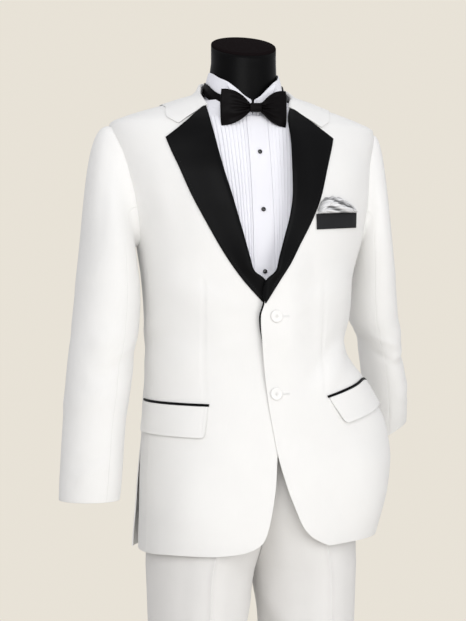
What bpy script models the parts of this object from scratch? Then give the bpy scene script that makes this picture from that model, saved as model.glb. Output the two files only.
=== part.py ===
"""A white single-breasted tuxedo with black satin trim, worn by a limbless black dress form on a stand.

Metres, +Z up. The wearer faces -Y, so the wearer's left is +X. The origin is the middle of the base plate's
underside. Each sewn piece is a thin closed wall, laid from a grid on the rings of its layer. Pieces that meet
in a seam stand SEAM apart, and what lies on a panel is made from the panel's points moved out.
"""

from math import atan2, cos, degrees, pi, radians, sin, sqrt

import bmesh
import bpy
import numpy as np
from mathutils import Matrix, Vector

SEAM = 0.0003

# Wall thicknesses of the cloths.
SUITING = 0.0020
SATIN = 0.0018
SHIRTING = 0.0012
TROUSER_CLOTH = 0.0018
BAND_CLOTH = 0.0030


class Table:
    """Rows of sizes under named columns. The first column is a row's place, and each other column runs
    smoothly from row to row without overshooting."""

    def __init__(self, names, *rows):
        self.names = names.split()
        self.values = np.array(rows, dtype=float)
        self.places = self.values[:, 0]
        steps = np.diff(self.places)[:, None]
        chords = np.diff(self.values, axis=0) / steps
        slopes = np.vstack([chords[:1], np.zeros_like(chords[1:]), chords[-1:]])
        before, after = chords[:-1], chords[1:]
        same_way = before * after > 0
        both = np.where(same_way, before + after, 1.0)
        slopes[1:-1] = np.where(same_way, 2 * before * after / both, 0.0)
        self.slopes = slopes

    def at(self, name, place):
        column = self.names.index(name)
        row = int(np.clip(np.searchsorted(self.places, place) - 1, 0, len(self.places) - 2))
        step = self.places[row + 1] - self.places[row]
        share = (place - self.places[row]) / step
        low, high = self.values[row, column], self.values[row + 1, column]
        if share < 0:
            return low + share * step * self.slopes[row, column]
        if share > 1:
            return high + (share - 1) * step * self.slopes[row + 1, column]
        rise = self.slopes[row, column] * step
        fall = self.slopes[row + 1, column] * step
        turn = 3 * (high - low) - 2 * rise - fall
        bend = 2 * (low - high) + rise + fall
        return low + rise * share + turn * share**2 + bend * share**3


# Level sections. middle is how far the section's centre stands to the wearer's left of the neck's. right,
# left, front and back are its reach from there. square is 2 for an ellipse, and more for a squarer section.
RING = "height middle right left front back square"
JACKET = Table(
    RING,
    (0.740, 0.006, 0.177, 0.203, 0.150, 0.150, 2.20),
    (0.772, 0.006, 0.177, 0.210, 0.150, 0.150, 2.20),
    (0.820, 0.006, 0.176, 0.224, 0.149, 0.153, 2.20),
    (0.870, 0.006, 0.175, 0.238, 0.147, 0.155, 2.20),
    (0.915, 0.006, 0.174, 0.243, 0.145, 0.153, 2.20),
    (0.970, 0.006, 0.172, 0.235, 0.141, 0.147, 2.20),
    (1.015, 0.006, 0.170, 0.215, 0.138, 0.138, 2.20),
    (1.050, 0.006, 0.168, 0.194, 0.135, 0.128, 2.20),
    (1.070, 0.006, 0.168, 0.177, 0.134, 0.123, 2.20),
    (1.090, 0.006, 0.168, 0.165, 0.133, 0.119, 2.20),
    (1.110, 0.006, 0.168, 0.162, 0.133, 0.117, 2.20),
    (1.150, 0.005, 0.169, 0.171, 0.133, 0.116, 2.20),
    (1.210, 0.003, 0.171, 0.178, 0.135, 0.122, 2.20),
    (1.265, 0.000, 0.176, 0.189, 0.136, 0.132, 2.20),
    (1.320, 0.000, 0.189, 0.201, 0.134, 0.138, 2.15),
    (1.370, 0.000, 0.204, 0.212, 0.125, 0.136, 2.10),
    (1.410, 0.000, 0.216, 0.221, 0.111, 0.128, 2.00),
    (1.440, 0.000, 0.223, 0.226, 0.096, 0.115, 2.00),
    (1.457, 0.000, 0.222, 0.225, 0.084, 0.106, 2.00),
    (1.470, 0.000, 0.196, 0.199, 0.074, 0.098, 2.00),
    (1.482, 0.000, 0.160, 0.164, 0.065, 0.090, 2.00),
    (1.494, 0.000, 0.119, 0.122, 0.057, 0.082, 2.00),
    (1.505, 0.000, 0.089, 0.090, 0.051, 0.077, 2.00),
    (1.520, 0.000, 0.0770, 0.0780, 0.047, 0.0735, 2.00),
    (1.540, 0.000, 0.0720, 0.0725, 0.045, 0.0705, 2.00),
    (1.556, 0.000, 0.0700, 0.0705, 0.044, 0.0690, 2.00),
)
SHIRT = Table(
    RING,
    (1.000, 0.008, 0.149, 0.149, 0.103, 0.100, 2.15),
    (1.060, 0.008, 0.1498, 0.1498, 0.104, 0.1004, 2.15),
    (1.120, 0.006, 0.149, 0.149, 0.110, 0.098, 2.15),
    (1.200, 0.002, 0.156, 0.156, 0.116, 0.108, 2.15),
    (1.280, 0.000, 0.168, 0.168, 0.112, 0.120, 2.15),
    (1.340, 0.000, 0.182, 0.182, 0.104, 0.124, 2.10),
    (1.400, 0.000, 0.196, 0.196, 0.091, 0.118, 2.00),
    (1.430, 0.000, 0.198, 0.198, 0.083, 0.110, 2.00),
    (1.450, 0.000, 0.178, 0.178, 0.077, 0.099, 2.00),
    (1.466, 0.000, 0.146, 0.146, 0.073, 0.089, 2.00),
    (1.480, 0.000, 0.112, 0.112, 0.070, 0.080, 2.00),
    (1.494, 0.000, 0.0800, 0.0800, 0.0670, 0.0720, 2.00),
    (1.506, 0.000, 0.0675, 0.0675, 0.0660, 0.0675, 2.00),
)
FORM = Table(
    RING,
    (0.862, 0.010, 0.128, 0.128, 0.080, 0.095, 2.30),
    (0.870, 0.010, 0.137, 0.137, 0.088, 0.104, 2.30),
    (0.900, 0.010, 0.144, 0.144, 0.093, 0.113, 2.20),
    (0.950, 0.010, 0.147, 0.147, 0.096, 0.110, 2.20),
    (1.010, 0.010, 0.141, 0.141, 0.095, 0.097, 2.20),
    (1.080, 0.008, 0.138, 0.138, 0.096, 0.088, 2.20),
    (1.150, 0.005, 0.141, 0.141, 0.103, 0.090, 2.20),
    (1.220, 0.002, 0.148, 0.148, 0.107, 0.099, 2.20),
    (1.290, 0.000, 0.162, 0.162, 0.103, 0.112, 2.20),
    (1.350, 0.000, 0.176, 0.176, 0.093, 0.114, 2.10),
    (1.395, 0.000, 0.186, 0.186, 0.081, 0.108, 2.00),
    (1.422, 0.000, 0.187, 0.187, 0.074, 0.101, 2.00),
    (1.438, 0.000, 0.165, 0.165, 0.069, 0.090, 2.00),
    (1.452, 0.000, 0.132, 0.132, 0.065, 0.079, 2.00),
    (1.466, 0.000, 0.096, 0.096, 0.062, 0.069, 2.00),
    (1.480, 0.000, 0.070, 0.070, 0.059, 0.062, 2.00),
    (1.496, 0.000, 0.0600, 0.0600, 0.057, 0.058, 2.00),
    (1.520, 0.000, 0.0560, 0.0560, 0.055, 0.056, 2.00),
    (1.550, 0.000, 0.0545, 0.0545, 0.054, 0.054, 2.00),
    (1.600, 0.001, 0.0530, 0.0530, 0.053, 0.053, 2.00),
)

# One trouser leg's level sections. offset is how far its centre stands out from the trousers' middle. inner
# and outer are its reach to the fork and to the side seam, and front and back its reach to the two creases.
FORK_HEIGHT = 0.740
LEG = Table(
    "height middle offset inner outer front back square crease",
    (0.030, 0.014, 0.0980, 0.0560, 0.0580, 0.0770, 0.0800, 2.0, 0.0030),
    (0.080, 0.014, 0.0980, 0.0570, 0.0590, 0.0780, 0.0810, 2.0, 0.0040),
    (0.200, 0.014, 0.0980, 0.0600, 0.0620, 0.0830, 0.0870, 2.0, 0.0050),
    (0.400, 0.014, 0.0965, 0.0650, 0.0670, 0.0920, 0.0950, 2.0, 0.0050),
    (0.600, 0.014, 0.0940, 0.0735, 0.0740, 0.1020, 0.1040, 2.0, 0.0050),
    (0.660, 0.014, 0.0935, 0.0775, 0.0770, 0.1060, 0.1070, 2.0, 0.0050),
    (0.705, 0.014, 0.0930, 0.0850, 0.0790, 0.1080, 0.1100, 2.0, 0.0050),
    (FORK_HEIGHT, 0.014, 0.0920, 0.0918, 0.0815, 0.1100, 0.1130, 2.0, 0.0045),
    (0.765, 0.014, 0.0880, 0.0965, 0.0850, 0.1120, 0.1170, 2.0, 0.0035),
    (0.800, 0.014, 0.0800, 0.1010, 0.0920, 0.1140, 0.1220, 2.1, 0.0025),
    (0.860, 0.013, 0.0500, 0.1100, 0.1190, 0.1150, 0.1280, 2.2, 0.0015),
    (0.930, 0.011, 0.0200, 0.1350, 0.1450, 0.1140, 0.1270, 2.2, 0.0010),
    (1.000, 0.010, 0.0000, 0.1580, 0.1580, 0.1110, 0.1160, 2.2, 0.0000),
    (1.070, 0.010, 0.0000, 0.1550, 0.1550, 0.1100, 0.1070, 2.2, 0.0000),
)
TROUSER_HEM = 0.036
WAISTBAND = {"low": 1.030, "high": 1.066}

# Front edges of the jacket: the x of each front's edge up to the break of its lapel, then of its roll line.
EDGE = Table(
    "height right left",
    (0.7700, -0.1050, 0.1060),
    (0.7755, -0.0500, 0.0930),
    (0.7800, -0.0290, 0.0850),
    (0.7910, -0.0115, 0.0700),
    (0.8095, -0.0030, 0.0560),
    (0.8445, 0.0048, 0.0425),
    (0.8850, 0.0108, 0.0280),
    (0.9300, 0.0140, 0.0145),
    (0.9700, 0.0215, 0.0070),
    (1.0110, 0.0290, 0.0000),
    (1.0600, 0.0330, -0.0060),
    (1.1100, 0.0330, -0.0100),
    (1.1480, 0.0280, -0.0125),
    (1.1720, -0.0050, -0.0062),
    (1.2050, -0.0180, 0.0080),
    (1.2400, -0.0275, 0.0185),
    (1.2700, -0.0365, 0.0288),
    (1.3080, -0.0475, 0.0402),
    (1.3400, -0.0560, 0.0472),
    (1.3840, -0.0655, 0.0522),
    (1.4260, -0.0722, 0.0550),
    (1.4560, -0.0755, 0.0570),
    (1.4850, -0.0812, 0.0645),
    (1.4950, -0.0850, 0.0760),
    (1.5030, -0.0890, 0.0875),
)
HEM = {"height": 0.7720, "eased": 0.900}
HEM_LIFT = Table(
    "turn lift",
    (-180, 0.0),
    (-100, 0.0),
    (-80, 0.0010),
    (-55, 0.0050),
    (-15, 0.0062),
    (20, 0.0130),
    (34, 0.0165),
    (66, 0.0200),
    (95, 0.0200),
    (150, 0.0),
    (180, 0.0),
)
FRONT_HEIGHTS = (
    0.7720, 0.7755, 0.7800, 0.7910, 0.8095, 0.8445, 0.8850, 0.9300, 0.9700, 1.0110, 1.0500, 1.0700, 1.0900,
    1.1200, 1.1480, 1.1720, 1.2050, 1.2550, 1.3050, 1.3500, 1.3950, 1.4300, 1.4525, 1.4660, 1.4800, 1.4920,
    1.5020,
)
BACK_HEIGHTS = (
    0.7720, 0.8300, 0.8900, 0.9550, 1.0110, 1.0500, 1.0700, 1.0900, 1.1200, 1.1480, 1.2050, 1.2550, 1.3050,
    1.3500, 1.3950, 1.4300, 1.4525, 1.4660, 1.4800, 1.4920, 1.5035,
)
SIDE_HEIGHTS = BACK_HEIGHTS[:11]  # and the last row runs along the armhole

# The armhole is an ellipse seen from the side.
ARMHOLE = {"top": 1.4525, "bottom": 1.2625, "front": 0.038, "back": 0.060}
SIDE_SEAM = {"front": -0.030, "back": 0.046}
SIDE_GAP = 0.0005  # how far a side panel's edge stands back from its seam
VENT = {"height": 0.955, "depth": 0.006}


def clear_scene():
    for thing in list(bpy.data.objects):
        bpy.data.objects.remove(thing, do_unlink=True)


def material(name, colour, roughness, metallic=0.0):
    made = bpy.data.materials.new(name)
    made.use_nodes = True
    shader = made.node_tree.nodes["Principled BSDF"]
    shader.inputs["Base Color"].default_value = (*colour, 1.0)
    shader.inputs["Roughness"].default_value = roughness
    shader.inputs["Metallic"].default_value = metallic
    return made


def add(bm, name, look):
    bmesh.ops.recalc_face_normals(bm, faces=bm.faces[:])
    if bm.calc_volume(signed=True) < 0:
        bmesh.ops.reverse_faces(bm, faces=bm.faces[:])
    mesh = bpy.data.meshes.new(name)
    bm.to_mesh(mesh)
    bm.free()
    mesh.materials.append(look)
    made = bpy.data.objects.new(name, mesh)
    bpy.data.collections["Tuxedo"].objects.link(made)
    return made


def cloth(name, look, across, along, place):
    """A closed wall: a flat grid, extruded once and laid by place(u, v, layer). Layer 0 is the face."""
    bm = bmesh.new()
    bmesh.ops.create_grid(bm, x_segments=across, y_segments=along, size=0.5)
    lining = bmesh.ops.extrude_face_region(bm, geom=bm.faces[:])["geom"]
    for vert in (item for item in lining if isinstance(item, bmesh.types.BMVert)):
        vert.co.z = 1.0
    for vert in bm.verts:
        u, v, layer = vert.co.x + 0.5, vert.co.y + 0.5, vert.co.z
        vert.co = place(u, v, layer)
    return add(bm, name, look)


def level_point(table, turn, height):
    """The section's point at a turn in degrees: 0 in front, 90 at the wearer's left, 180 behind."""
    sine, cosine = sin(radians(turn)), cos(radians(turn))
    side = table.at("left" if sine > 0 else "right", height)
    depth = table.at("front" if cosine > 0 else "back", height)
    power = table.at("square", height)
    reach = (abs(sine / side) ** power + abs(cosine / depth) ** power) ** (-1 / power)
    return Vector((table.at("middle", height) + reach * sine, -reach * cosine, height))


def turn_at_x(table, x, height):
    """The turn of the section's front point that stands at x."""
    aside = x - table.at("middle", height)
    side = table.at("left" if aside > 0 else "right", height)
    power = table.at("square", height)
    share = min(abs(aside) / side, 0.9999)
    return degrees(atan2(aside, table.at("front", height) * (1 - share**power) ** (1 / power)))


def turn_at_y(table, y, height, hand):
    """The turn of the section's side point that stands at y, on the wearer's right (-1) or left (1)."""
    depth = table.at("back" if y > 0 else "front", height)
    power = table.at("square", height)
    share = min(abs(y) / depth, 0.9999)
    side = table.at("left" if hand > 0 else "right", height)
    return degrees(atan2(hand * side * (1 - share**power) ** (1 / power), -y))


def outward(surface, across, along, across_step=0.5, along_step=0.002):
    """The outward direction of a surface(across, along). across runs to the left, and along runs up."""
    around = surface(across + across_step, along) - surface(across - across_step, along)
    upward = surface(across, along + along_step) - surface(across, along - along_step)
    return around.cross(upward).normalized()


def off(surface, turn, height, distance):
    """The surface's point, moved out by a distance."""
    return surface(turn, height) + outward(surface, turn, height) * distance


def ramp(value, low, high):
    share = min(max((value - low) / (high - low), 0.0), 1.0)
    return share * share * (3 - 2 * share)


def seam_turns(surface, turn, height, distance=SEAM / 2):
    """The degrees that span a distance along the section at this turn, to the right if it is below nought."""
    step = 0.5
    span = (surface(turn + step, height) - surface(turn - step, height)).length
    return distance * 2 * step / span


# Soft folds of the jacket's body: a ridge (or, below nought, a trough) that runs from one end to the other.
FOLD = "turn height to_turn to_height width rise"
JACKET_FOLDS = (
    (80, 1.360, 76, 1.240, 0.026, 0.0070),
    (-64, 1.215, -30, 1.150, 0.030, 0.0035),
    (62, 1.205, 30, 1.150, 0.030, 0.0035),
    (-60, 1.070, -26, 1.125, 0.030, 0.0030),
    (56, 0.930, 60, 0.800, 0.034, 0.0050),
    (-48, 0.920, -52, 0.800, 0.034, 0.0035),
    (120, 1.140, 165, 1.110, 0.034, 0.0040),
    (-120, 1.140, -165, 1.110, 0.034, 0.0040),
    (150, 1.300, 172, 1.380, 0.034, -0.0030),
    (-150, 1.300, -172, 1.380, 0.034, -0.0030),
)
GIRTH = 0.145


def fold_rise(folds, turn, height, girth):
    """How far a list of folds lifts the cloth here. girth is the cloth's usual distance from its middle."""
    total = 0.0
    for fold in folds:
        row = dict(zip(FOLD.split(), fold))
        start = Vector((radians(row["turn"]) * girth, row["height"]))
        path = Vector((radians(row["to_turn"]) * girth, row["to_height"])) - start
        here = Vector((radians(turn) * girth, height)) - start
        share = here.dot(path) / path.length_squared
        if -0.3 < share < 1.3:
            aside = (here - path * share).length / row["width"]
            ends = ramp(share, -0.3, 0.3) * (1 - ramp(share, 0.7, 1.3))
            total += row["rise"] * ends * 2.718 ** (-aside * aside)
    return total


def hem_height(turn, height):
    """The hem rises a little in front, and more at the wearer's left, where the jacket is carried out."""
    return height + HEM_LIFT.at("lift", turn) * (1 - ramp(height, HEM["height"], HEM["eased"]))


def jacket(turn, height):
    point = level_point(JACKET, turn, height)
    middle = Vector((JACKET.at("middle", height), 0, height))
    return point + (point - middle).normalized() * fold_rise(JACKET_FOLDS, turn, height, GIRTH)


def shirt(turn, height):
    return level_point(SHIRT, turn, height)


def armhole_y(height, end):
    """How far the armhole's edge stands before or behind the shoulder point at a height."""
    middle = (ARMHOLE["top"] + ARMHOLE["bottom"]) / 2
    share = min(abs(height - middle) / (ARMHOLE["top"] - middle), 1.0)
    return ARMHOLE[end] * sqrt(1 - share * share)


def armhole_height(y):
    """The height of the armhole's underarm edge."""
    middle = (ARMHOLE["top"] + ARMHOLE["bottom"]) / 2
    share = min(abs(y) / ARMHOLE["front" if y < 0 else "back"], 1.0)
    return middle - (ARMHOLE["top"] - middle) * sqrt(1 - share * share)


def front_side_turn(height, hand):
    """Where a front ends at the side: the side seam, then the armhole, then the shoulder seam."""
    if height >= ARMHOLE["top"]:
        y = 0.0
    else:
        y = -armhole_y(height, "front")
        if height < armhole_height(SIDE_SEAM["front"]):
            y = SIDE_SEAM["front"]
    return turn_at_y(JACKET, y, height, hand)


def back_side_turn(height, hand):
    if height >= ARMHOLE["top"]:
        y = 0.0
    else:
        y = armhole_y(height, "back")
        if height < armhole_height(SIDE_SEAM["back"]):
            y = SIDE_SEAM["back"]
    return turn_at_y(JACKET, y, height, hand)


OVERLAP = 0.0026  # how far the left front stands out to pass over the right one


def over(x, height):
    """The left front passes over the right one below the break, and eases back onto the body beside it."""
    return OVERLAP * (1 - ramp(x, 0.040, 0.085)) * (1 - ramp(height, 1.19, 1.26)) * ramp(height, 0.84, 0.93)


def front_point(hand, turn, height, distance):
    """A point over a front's face."""
    raised = distance
    if hand > 0:
        raised += over(jacket(turn, height).x, height)
    return off(jacket, turn, hem_height(turn, height), raised)


def jacket_front(name, hand, look):
    side = "right" if hand < 0 else "left"
    rows = len(FRONT_HEIGHTS) - 1

    def place(u, v, layer):
        height = FRONT_HEIGHTS[round(v * rows)]
        start = turn_at_x(JACKET, EDGE.at(side, height), height)
        end = front_side_turn(height, hand)
        end -= hand * seam_turns(jacket, end, height)
        return front_point(hand, start + (end - start) * u, height, -SUITING * layer)

    return cloth(name, look, 9, rows, place)


def jacket_side(name, hand, look):
    rows = len(SIDE_HEIGHTS)

    def place(u, v, layer):
        y = SIDE_SEAM["front"] + (SIDE_SEAM["back"] - SIDE_SEAM["front"]) * u
        row = round(v * rows)
        height = SIDE_HEIGHTS[row] if row < rows else armhole_height(y)
        start = turn_at_y(JACKET, SIDE_SEAM["front"], height, hand)
        end = turn_at_y(JACKET, SIDE_SEAM["back"], height, hand)
        start += hand * seam_turns(jacket, start, height, SIDE_GAP)
        end -= hand * seam_turns(jacket, end, height, SIDE_GAP)
        turn = start + (end - start) * u
        return off(jacket, turn, hem_height(turn, height), -SUITING * layer)

    return cloth(name, look, 4, rows, place)


def jacket_back(name, hand, look):
    rows = len(BACK_HEIGHTS) - 1

    def place(u, v, layer):
        height = BACK_HEIGHTS[round(v * rows)]
        end = back_side_turn(height, hand)
        start = hand * 180 - hand * seam_turns(jacket, 180, height)
        end += hand * seam_turns(jacket, end, height)
        # Below the vent's top the back's edge stands open, and a little past the side panel's edge.
        open_share = 1 - ramp(height, VENT["height"] - 0.12, VENT["height"])
        turn = start + (end - start) * u
        outer = VENT["depth"] * open_share * ramp(u, 0.55, 1.0)
        return off(jacket, turn, hem_height(turn, height), outer - SUITING * layer)

    return cloth(name, look, 7, rows, place)


# The lapels, from the break up: the x and height of the edge opposite each height of the roll line.
LAPEL = Table(
    "share roll_height right_edge right_height left_edge left_height",
    (0.00, 1.1750, -0.0125, 1.1742, -0.0015, 1.1748),
    (0.12, 1.2080, -0.0400, 1.2065, 0.0190, 1.2080),
    (0.25, 1.2470, -0.0675, 1.2460, 0.0445, 1.2465),
    (0.40, 1.2960, -0.0950, 1.2960, 0.0735, 1.2960),
    (0.55, 1.3420, -0.1170, 1.3410, 0.0942, 1.3415),
    (0.72, 1.3970, -0.1330, 1.3850, 0.1080, 1.3840),
    (0.88, 1.4480, -0.1430, 1.4130, 0.1195, 1.4150),
    (1.00, 1.4810, -0.1482, 1.4290, 0.1265, 1.4338),
)
LAPEL_BODY = 0.0008  # how far the lapel's underside stands off the front
# The roll at the lapel's inner edge: it swells off the front, then turns in past the front's edge and sinks.
ROLL = {"from": 0.06, "to": 0.12, "past": 0.0032, "swell": 0.0036, "sunk": 0.0030}


def lapel(name, hand, look):
    side = "right" if hand < 0 else "left"

    def place(u, v, layer):
        roll_height = LAPEL.at("roll_height", v)
        edge_height = LAPEL.at(side + "_height", v)
        roll_x = EDGE.at(side, roll_height)
        edge_x = LAPEL.at(side + "_edge", v)
        share = max(u - ROLL["from"], 0.0) / (1 - ROLL["from"])
        turned_in = (1 - ramp(u, 0.0, ROLL["to"])) * ramp(v, 0.0, 0.10)
        height = roll_height + (edge_height - roll_height) * share
        x = roll_x + (edge_x - roll_x) * share - hand * ROLL["past"] * turned_in
        swell = ROLL["swell"] * (1 - ramp(u, 0.1, 0.8)) * ramp(v, 0.0, 0.15)
        distance = LAPEL_BODY + SATIN * (1 - layer) + swell - ROLL["sunk"] * turned_in
        return front_point(hand, turn_at_x(JACKET, x, height), height, distance)

    return cloth(name, look, 7, 12, place)


# The jacket collar, from the middle of the back (share 0) to its ends at the gorge (share 1). The fold is its
# top line, which comes down just inside the roll line, and the edge is the free edge of its fall. notch is
# how far the end of the fall is cut down towards the notch.
COLLAR = Table(
    "share fold_height right_fold left_fold edge_height right_edge left_edge notch",
    (0.00, 1.5350, 180, 180, 1.4860, 180, 180, 0.0),
    (0.22, 1.5345, 150, 150, 1.4860, 152, 152, 0.0),
    (0.42, 1.5305, 118, 118, 1.4870, 120, 120, 0.0),
    (0.56, 1.5200, 93, 93, 1.4880, 99, 99, 0.0),
    (0.70, 1.5065, 77, 73, 1.4880, 86, 85, 0.0),
    (0.77, 1.5010, 69.5, 63.5, 1.4850, 81, 79, 0.0),
    (0.84, 1.4965, 63.5, 55.5, 1.4810, 76, 74, 0.0),
    (0.93, 1.4895, 57.5, 49.0, 1.4710, 71, 67, 0.0),
    (1.00, 1.4850, 54, 45.5, 1.4625, 67.4, 62.5, 0.0190),
)
NOTCH = {"share": 0.66, "turn": 2.6}
COLLAR_SECTION = Table(
    "share out up",  # up is measured from the fold, and 1 runs down the stand (or the fall) to its end
    (0.00, -0.0014, 1.00),
    (0.18, -0.0014, 0.45),
    (0.30, -0.0010, 0.10),
    (0.37, 0.0012, 0.00),
    (0.45, 0.0036, 0.07),
    (0.70, 0.0044, 0.50),
    (0.84, 0.0034, 0.74),
    (1.00, 0.0026, 1.00),
)
NECKLINE = 1.5060


def collar_point(u, v):
    """The middle of the collar's cloth: u from its stand's foot to its free edge, v from right to left."""
    side, hand = ("right", -1) if v < 0.5 else ("left", 1)
    share = abs(2 * v - 1)
    out = COLLAR_SECTION.at("out", u)
    run = COLLAR_SECTION.at("up", u)
    fold_height = COLLAR.at("fold_height", share)
    fold_turn = hand * COLLAR.at(side + "_fold", share)
    if u < 0.37:
        foot = min(NECKLINE, fold_height - 0.0030)
        return off(jacket, fold_turn, fold_height + (foot - fold_height) * run, out)
    cut = min(run / NOTCH["share"], (1 - run) / (1 - NOTCH["share"])) * COLLAR.at("notch", share)
    height = fold_height + (COLLAR.at("edge_height", share) - fold_height) * run - cut
    turn = fold_turn + (hand * COLLAR.at(side + "_edge", share) - fold_turn) * run
    turn -= hand * NOTCH["turn"] * cut / COLLAR.at("notch", 1.0)
    return off(jacket, turn, height, out)


def jacket_collar(name, look):
    def place(u, v, layer):
        normal = outward(collar_point, u, min(max(v, 0.006), 0.994), 0.01, 0.004)
        return collar_point(u, v) + normal * SUITING * (layer - 0.5)

    return cloth(name, look, 9, 24, place)


# The arms, from below the armhole (share 0) to the cuff (share 1). x, y and height are the middle of a level;
# across and deep are half its width and half its depth; back_up and out_up tip it, in degrees.
ARM = "share height x y across deep back_up out_up"
ARMS = {
    -1: Table(
        ARM,
        (0.00, 1.240, 0.2260, 0.000, 0.0460, 0.070, 0, 0),
        (0.13, 1.190, 0.2265, -0.004, 0.0515, 0.068, 0, 0),
        (0.29, 1.127, 0.2315, -0.007, 0.0535, 0.065, 0, 0),
        (0.45, 1.068, 0.2395, -0.010, 0.0525, 0.062, 0, 0),
        (0.58, 1.016, 0.2460, -0.013, 0.0510, 0.060, 0, 0),
        (0.67, 0.984, 0.2500, -0.016, 0.0495, 0.057, 0, 0),
        (0.91, 0.892, 0.2575, -0.024, 0.0490, 0.052, 0, 0),
        (1.00, 0.860, 0.2600, -0.026, 0.0480, 0.050, 0, 0),
    ),
    1: Table(
        ARM,
        (0.00, 1.240, 0.2320, 0.030, 0.0370, 0.070, 4, 0),
        (0.30, 1.155, 0.2460, 0.052, 0.0400, 0.067, 12, 2),
        (0.56, 1.088, 0.2735, 0.085, 0.0345, 0.066, 18, 4),
        (0.84, 1.001, 0.2980, 0.124, 0.0345, 0.060, 10, 12),
        (1.00, 0.940, 0.3090, 0.148, 0.0390, 0.055, -8, 32),
    ),
}
CAP_SHARE = 0.30
# How far the sleeve's head leaves the armhole and rises, and how it comes down to the arm.
CAP = Table(
    "turn right left up hang",
    (0, 0.041, 0.024, 0.008, 0.100),
    (90, 0.024, 0.018, 0.000, 0.070),
    (180, 0.009, 0.006, -0.002, 0.014),
)
SLEEVE_SEAMS = {"front": 112, "back": 252}
SLEEVE_GIRTH = 0.055
SLEEVE_RUN = 0.385
SLEEVE_FOLDS = {
    -1: (
        (60, 0.36, 110, 0.30, 0.018, 0.0030),
        (70, 0.48, 120, 0.42, 0.018, -0.0030),
        (200, 0.34, 120, 0.44, 0.018, -0.0030),
        (30, 0.60, 100, 0.54, 0.018, 0.0025),
    ),
    1: (
        (-10, 0.36, 70, 0.42, 0.018, 0.0025),
        (-10, 0.52, 80, 0.60, 0.018, -0.0030),
        (150, 0.44, 240, 0.52, 0.018, -0.0030),
        (0, 0.72, 90, 0.78, 0.018, 0.0025),
    ),
}


def arm_point(hand, turn, share):
    """A level's point on a sleeve: turn 0 is outermost, 90 in front, 180 next to the body."""
    arm = ARMS[hand]
    back_up, out_up = radians(arm.at("back_up", share)), radians(arm.at("out_up", share))
    aside = Vector((hand * cos(out_up), 0, sin(out_up)))
    behind = Vector((0, cos(back_up), sin(back_up)))
    middle = Vector((hand * arm.at("x", share), arm.at("y", share), arm.at("height", share)))
    angle = radians(turn)
    folds = [(f[0], f[1] * SLEEVE_RUN, f[2], f[3] * SLEEVE_RUN, *f[4:]) for f in SLEEVE_FOLDS[hand]]
    rise = fold_rise(folds, turn, share * SLEEVE_RUN, SLEEVE_GIRTH)
    across, deep = arm.at("across", share) + rise, arm.at("deep", share) + rise
    return middle + aside * across * cos(angle) - behind * deep * sin(angle)


def armhole_point(hand, turn):
    """The sleeve's start, just inside the armhole's edge."""
    middle = (ARMHOLE["top"] + ARMHOLE["bottom"]) / 2
    height = middle + (ARMHOLE["top"] - middle) * cos(radians(turn))
    y = -sin(radians(turn)) * ARMHOLE["front" if sin(radians(turn)) > 0 else "back"]
    edge = jacket(turn_at_y(JACKET, y, height, hand), height)
    towards = (Vector((edge.x, 0, middle)) - edge).normalized()
    return edge + towards * 0.0010 + Vector((hand * 0.0011, 0, 0))


def sleeve_point(hand, turn, v):
    if v >= CAP_SHARE:
        return arm_point(hand, turn, (v - CAP_SHARE) / (1 - CAP_SHARE))
    v = max(v, 0.0)
    share = v / CAP_SHARE
    away = abs((turn + 180) % 360 - 180)
    start, end = armhole_point(hand, turn), arm_point(hand, turn, 0.0)
    out = CAP.at("right" if hand < 0 else "left", away)
    leave = start + Vector((hand * out, 0, CAP.at("up", away)))
    down = (end - arm_point(hand, turn, 0.03)).normalized()
    arrive = end + down * CAP.at("hang", away)
    left = 1 - share
    return start * left**3 + leave * 3 * left**2 * share + arrive * 3 * left * share**2 + end * share**3


def sleeve(name, hand, look, start, end, across):
    def surface(turn, v):
        return sleeve_point(hand, turn, v)

    def place(u, v, layer):
        turn = start + (end - start) * u
        into = 1 if u == 0 else -1 if u == 1 else 0
        turn += into * seam_turns(surface, turn, v)
        probe = min(max(v, 0.006), 0.994)
        normal = outward(surface, turn, probe, 1.0, 0.005) * hand
        return surface(turn, v) - normal * SUITING * layer

    return cloth(name, look, across, 15, place)


def on_cloth(surface, start, tilt, right, down, out):
    """A point set off from a start (turn, height): right and down along the cloth, then out from it."""
    turn, height = start
    slope = radians(tilt)
    aside = right * cos(slope) + down * sin(slope)
    drop = down * cos(slope) - right * sin(slope)
    steps = 5
    for _ in range(steps):
        turn += seam_turns(surface, turn, height, aside / steps)
    return off(surface, turn, height - drop, out)


# Hip pockets: the flap's upper front corner (x and height), its top edge's tilt, its length and its drop.
# lean is how far its lower edge is set back.
FLAPS = {
    -1: {"x": -0.0910, "height": 1.0130, "tilt": 1.5, "length": 0.148, "drop": 0.053, "lean": 0.002},
    1: {"x": 0.1020, "height": 1.0240, "tilt": 13.5, "length": 0.140, "drop": 0.050, "lean": 0.014},
}
FLAP_CORNER = 0.014
JET = {"drop": 0.0050, "wall": 0.0011, "past": 0.002}
FLAP_LIFT = 0.0012
ON_PANEL = 0.0007  # how far what lies on a panel stands off its curve, to clear its flats


def rounded_drop(aside, length, drop, corner):
    """How far a flap hangs at a distance along its length, with both of its lower corners rounded."""
    from_end = min(aside, length - aside)
    if from_end >= corner:
        return drop
    return drop - corner + sqrt(max(corner**2 - (corner - from_end) ** 2, 0.0))


def pocket_start(hand):
    flap = FLAPS[hand]
    return turn_at_x(JACKET, flap["x"], flap["height"]), flap["height"]


def front_surface(hand):
    def surface(turn, height):
        return front_point(hand, turn, height, 0.0)

    return surface


def side_ways(hand, start, flap, aside, down, out):
    """A point on a hip pocket: aside from its front end towards the side seam, and down from its top edge."""
    sheared = aside + flap["lean"] * down / flap["drop"]
    return on_cloth(front_surface(hand), start, hand * flap["tilt"], hand * sheared, down, out)


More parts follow.
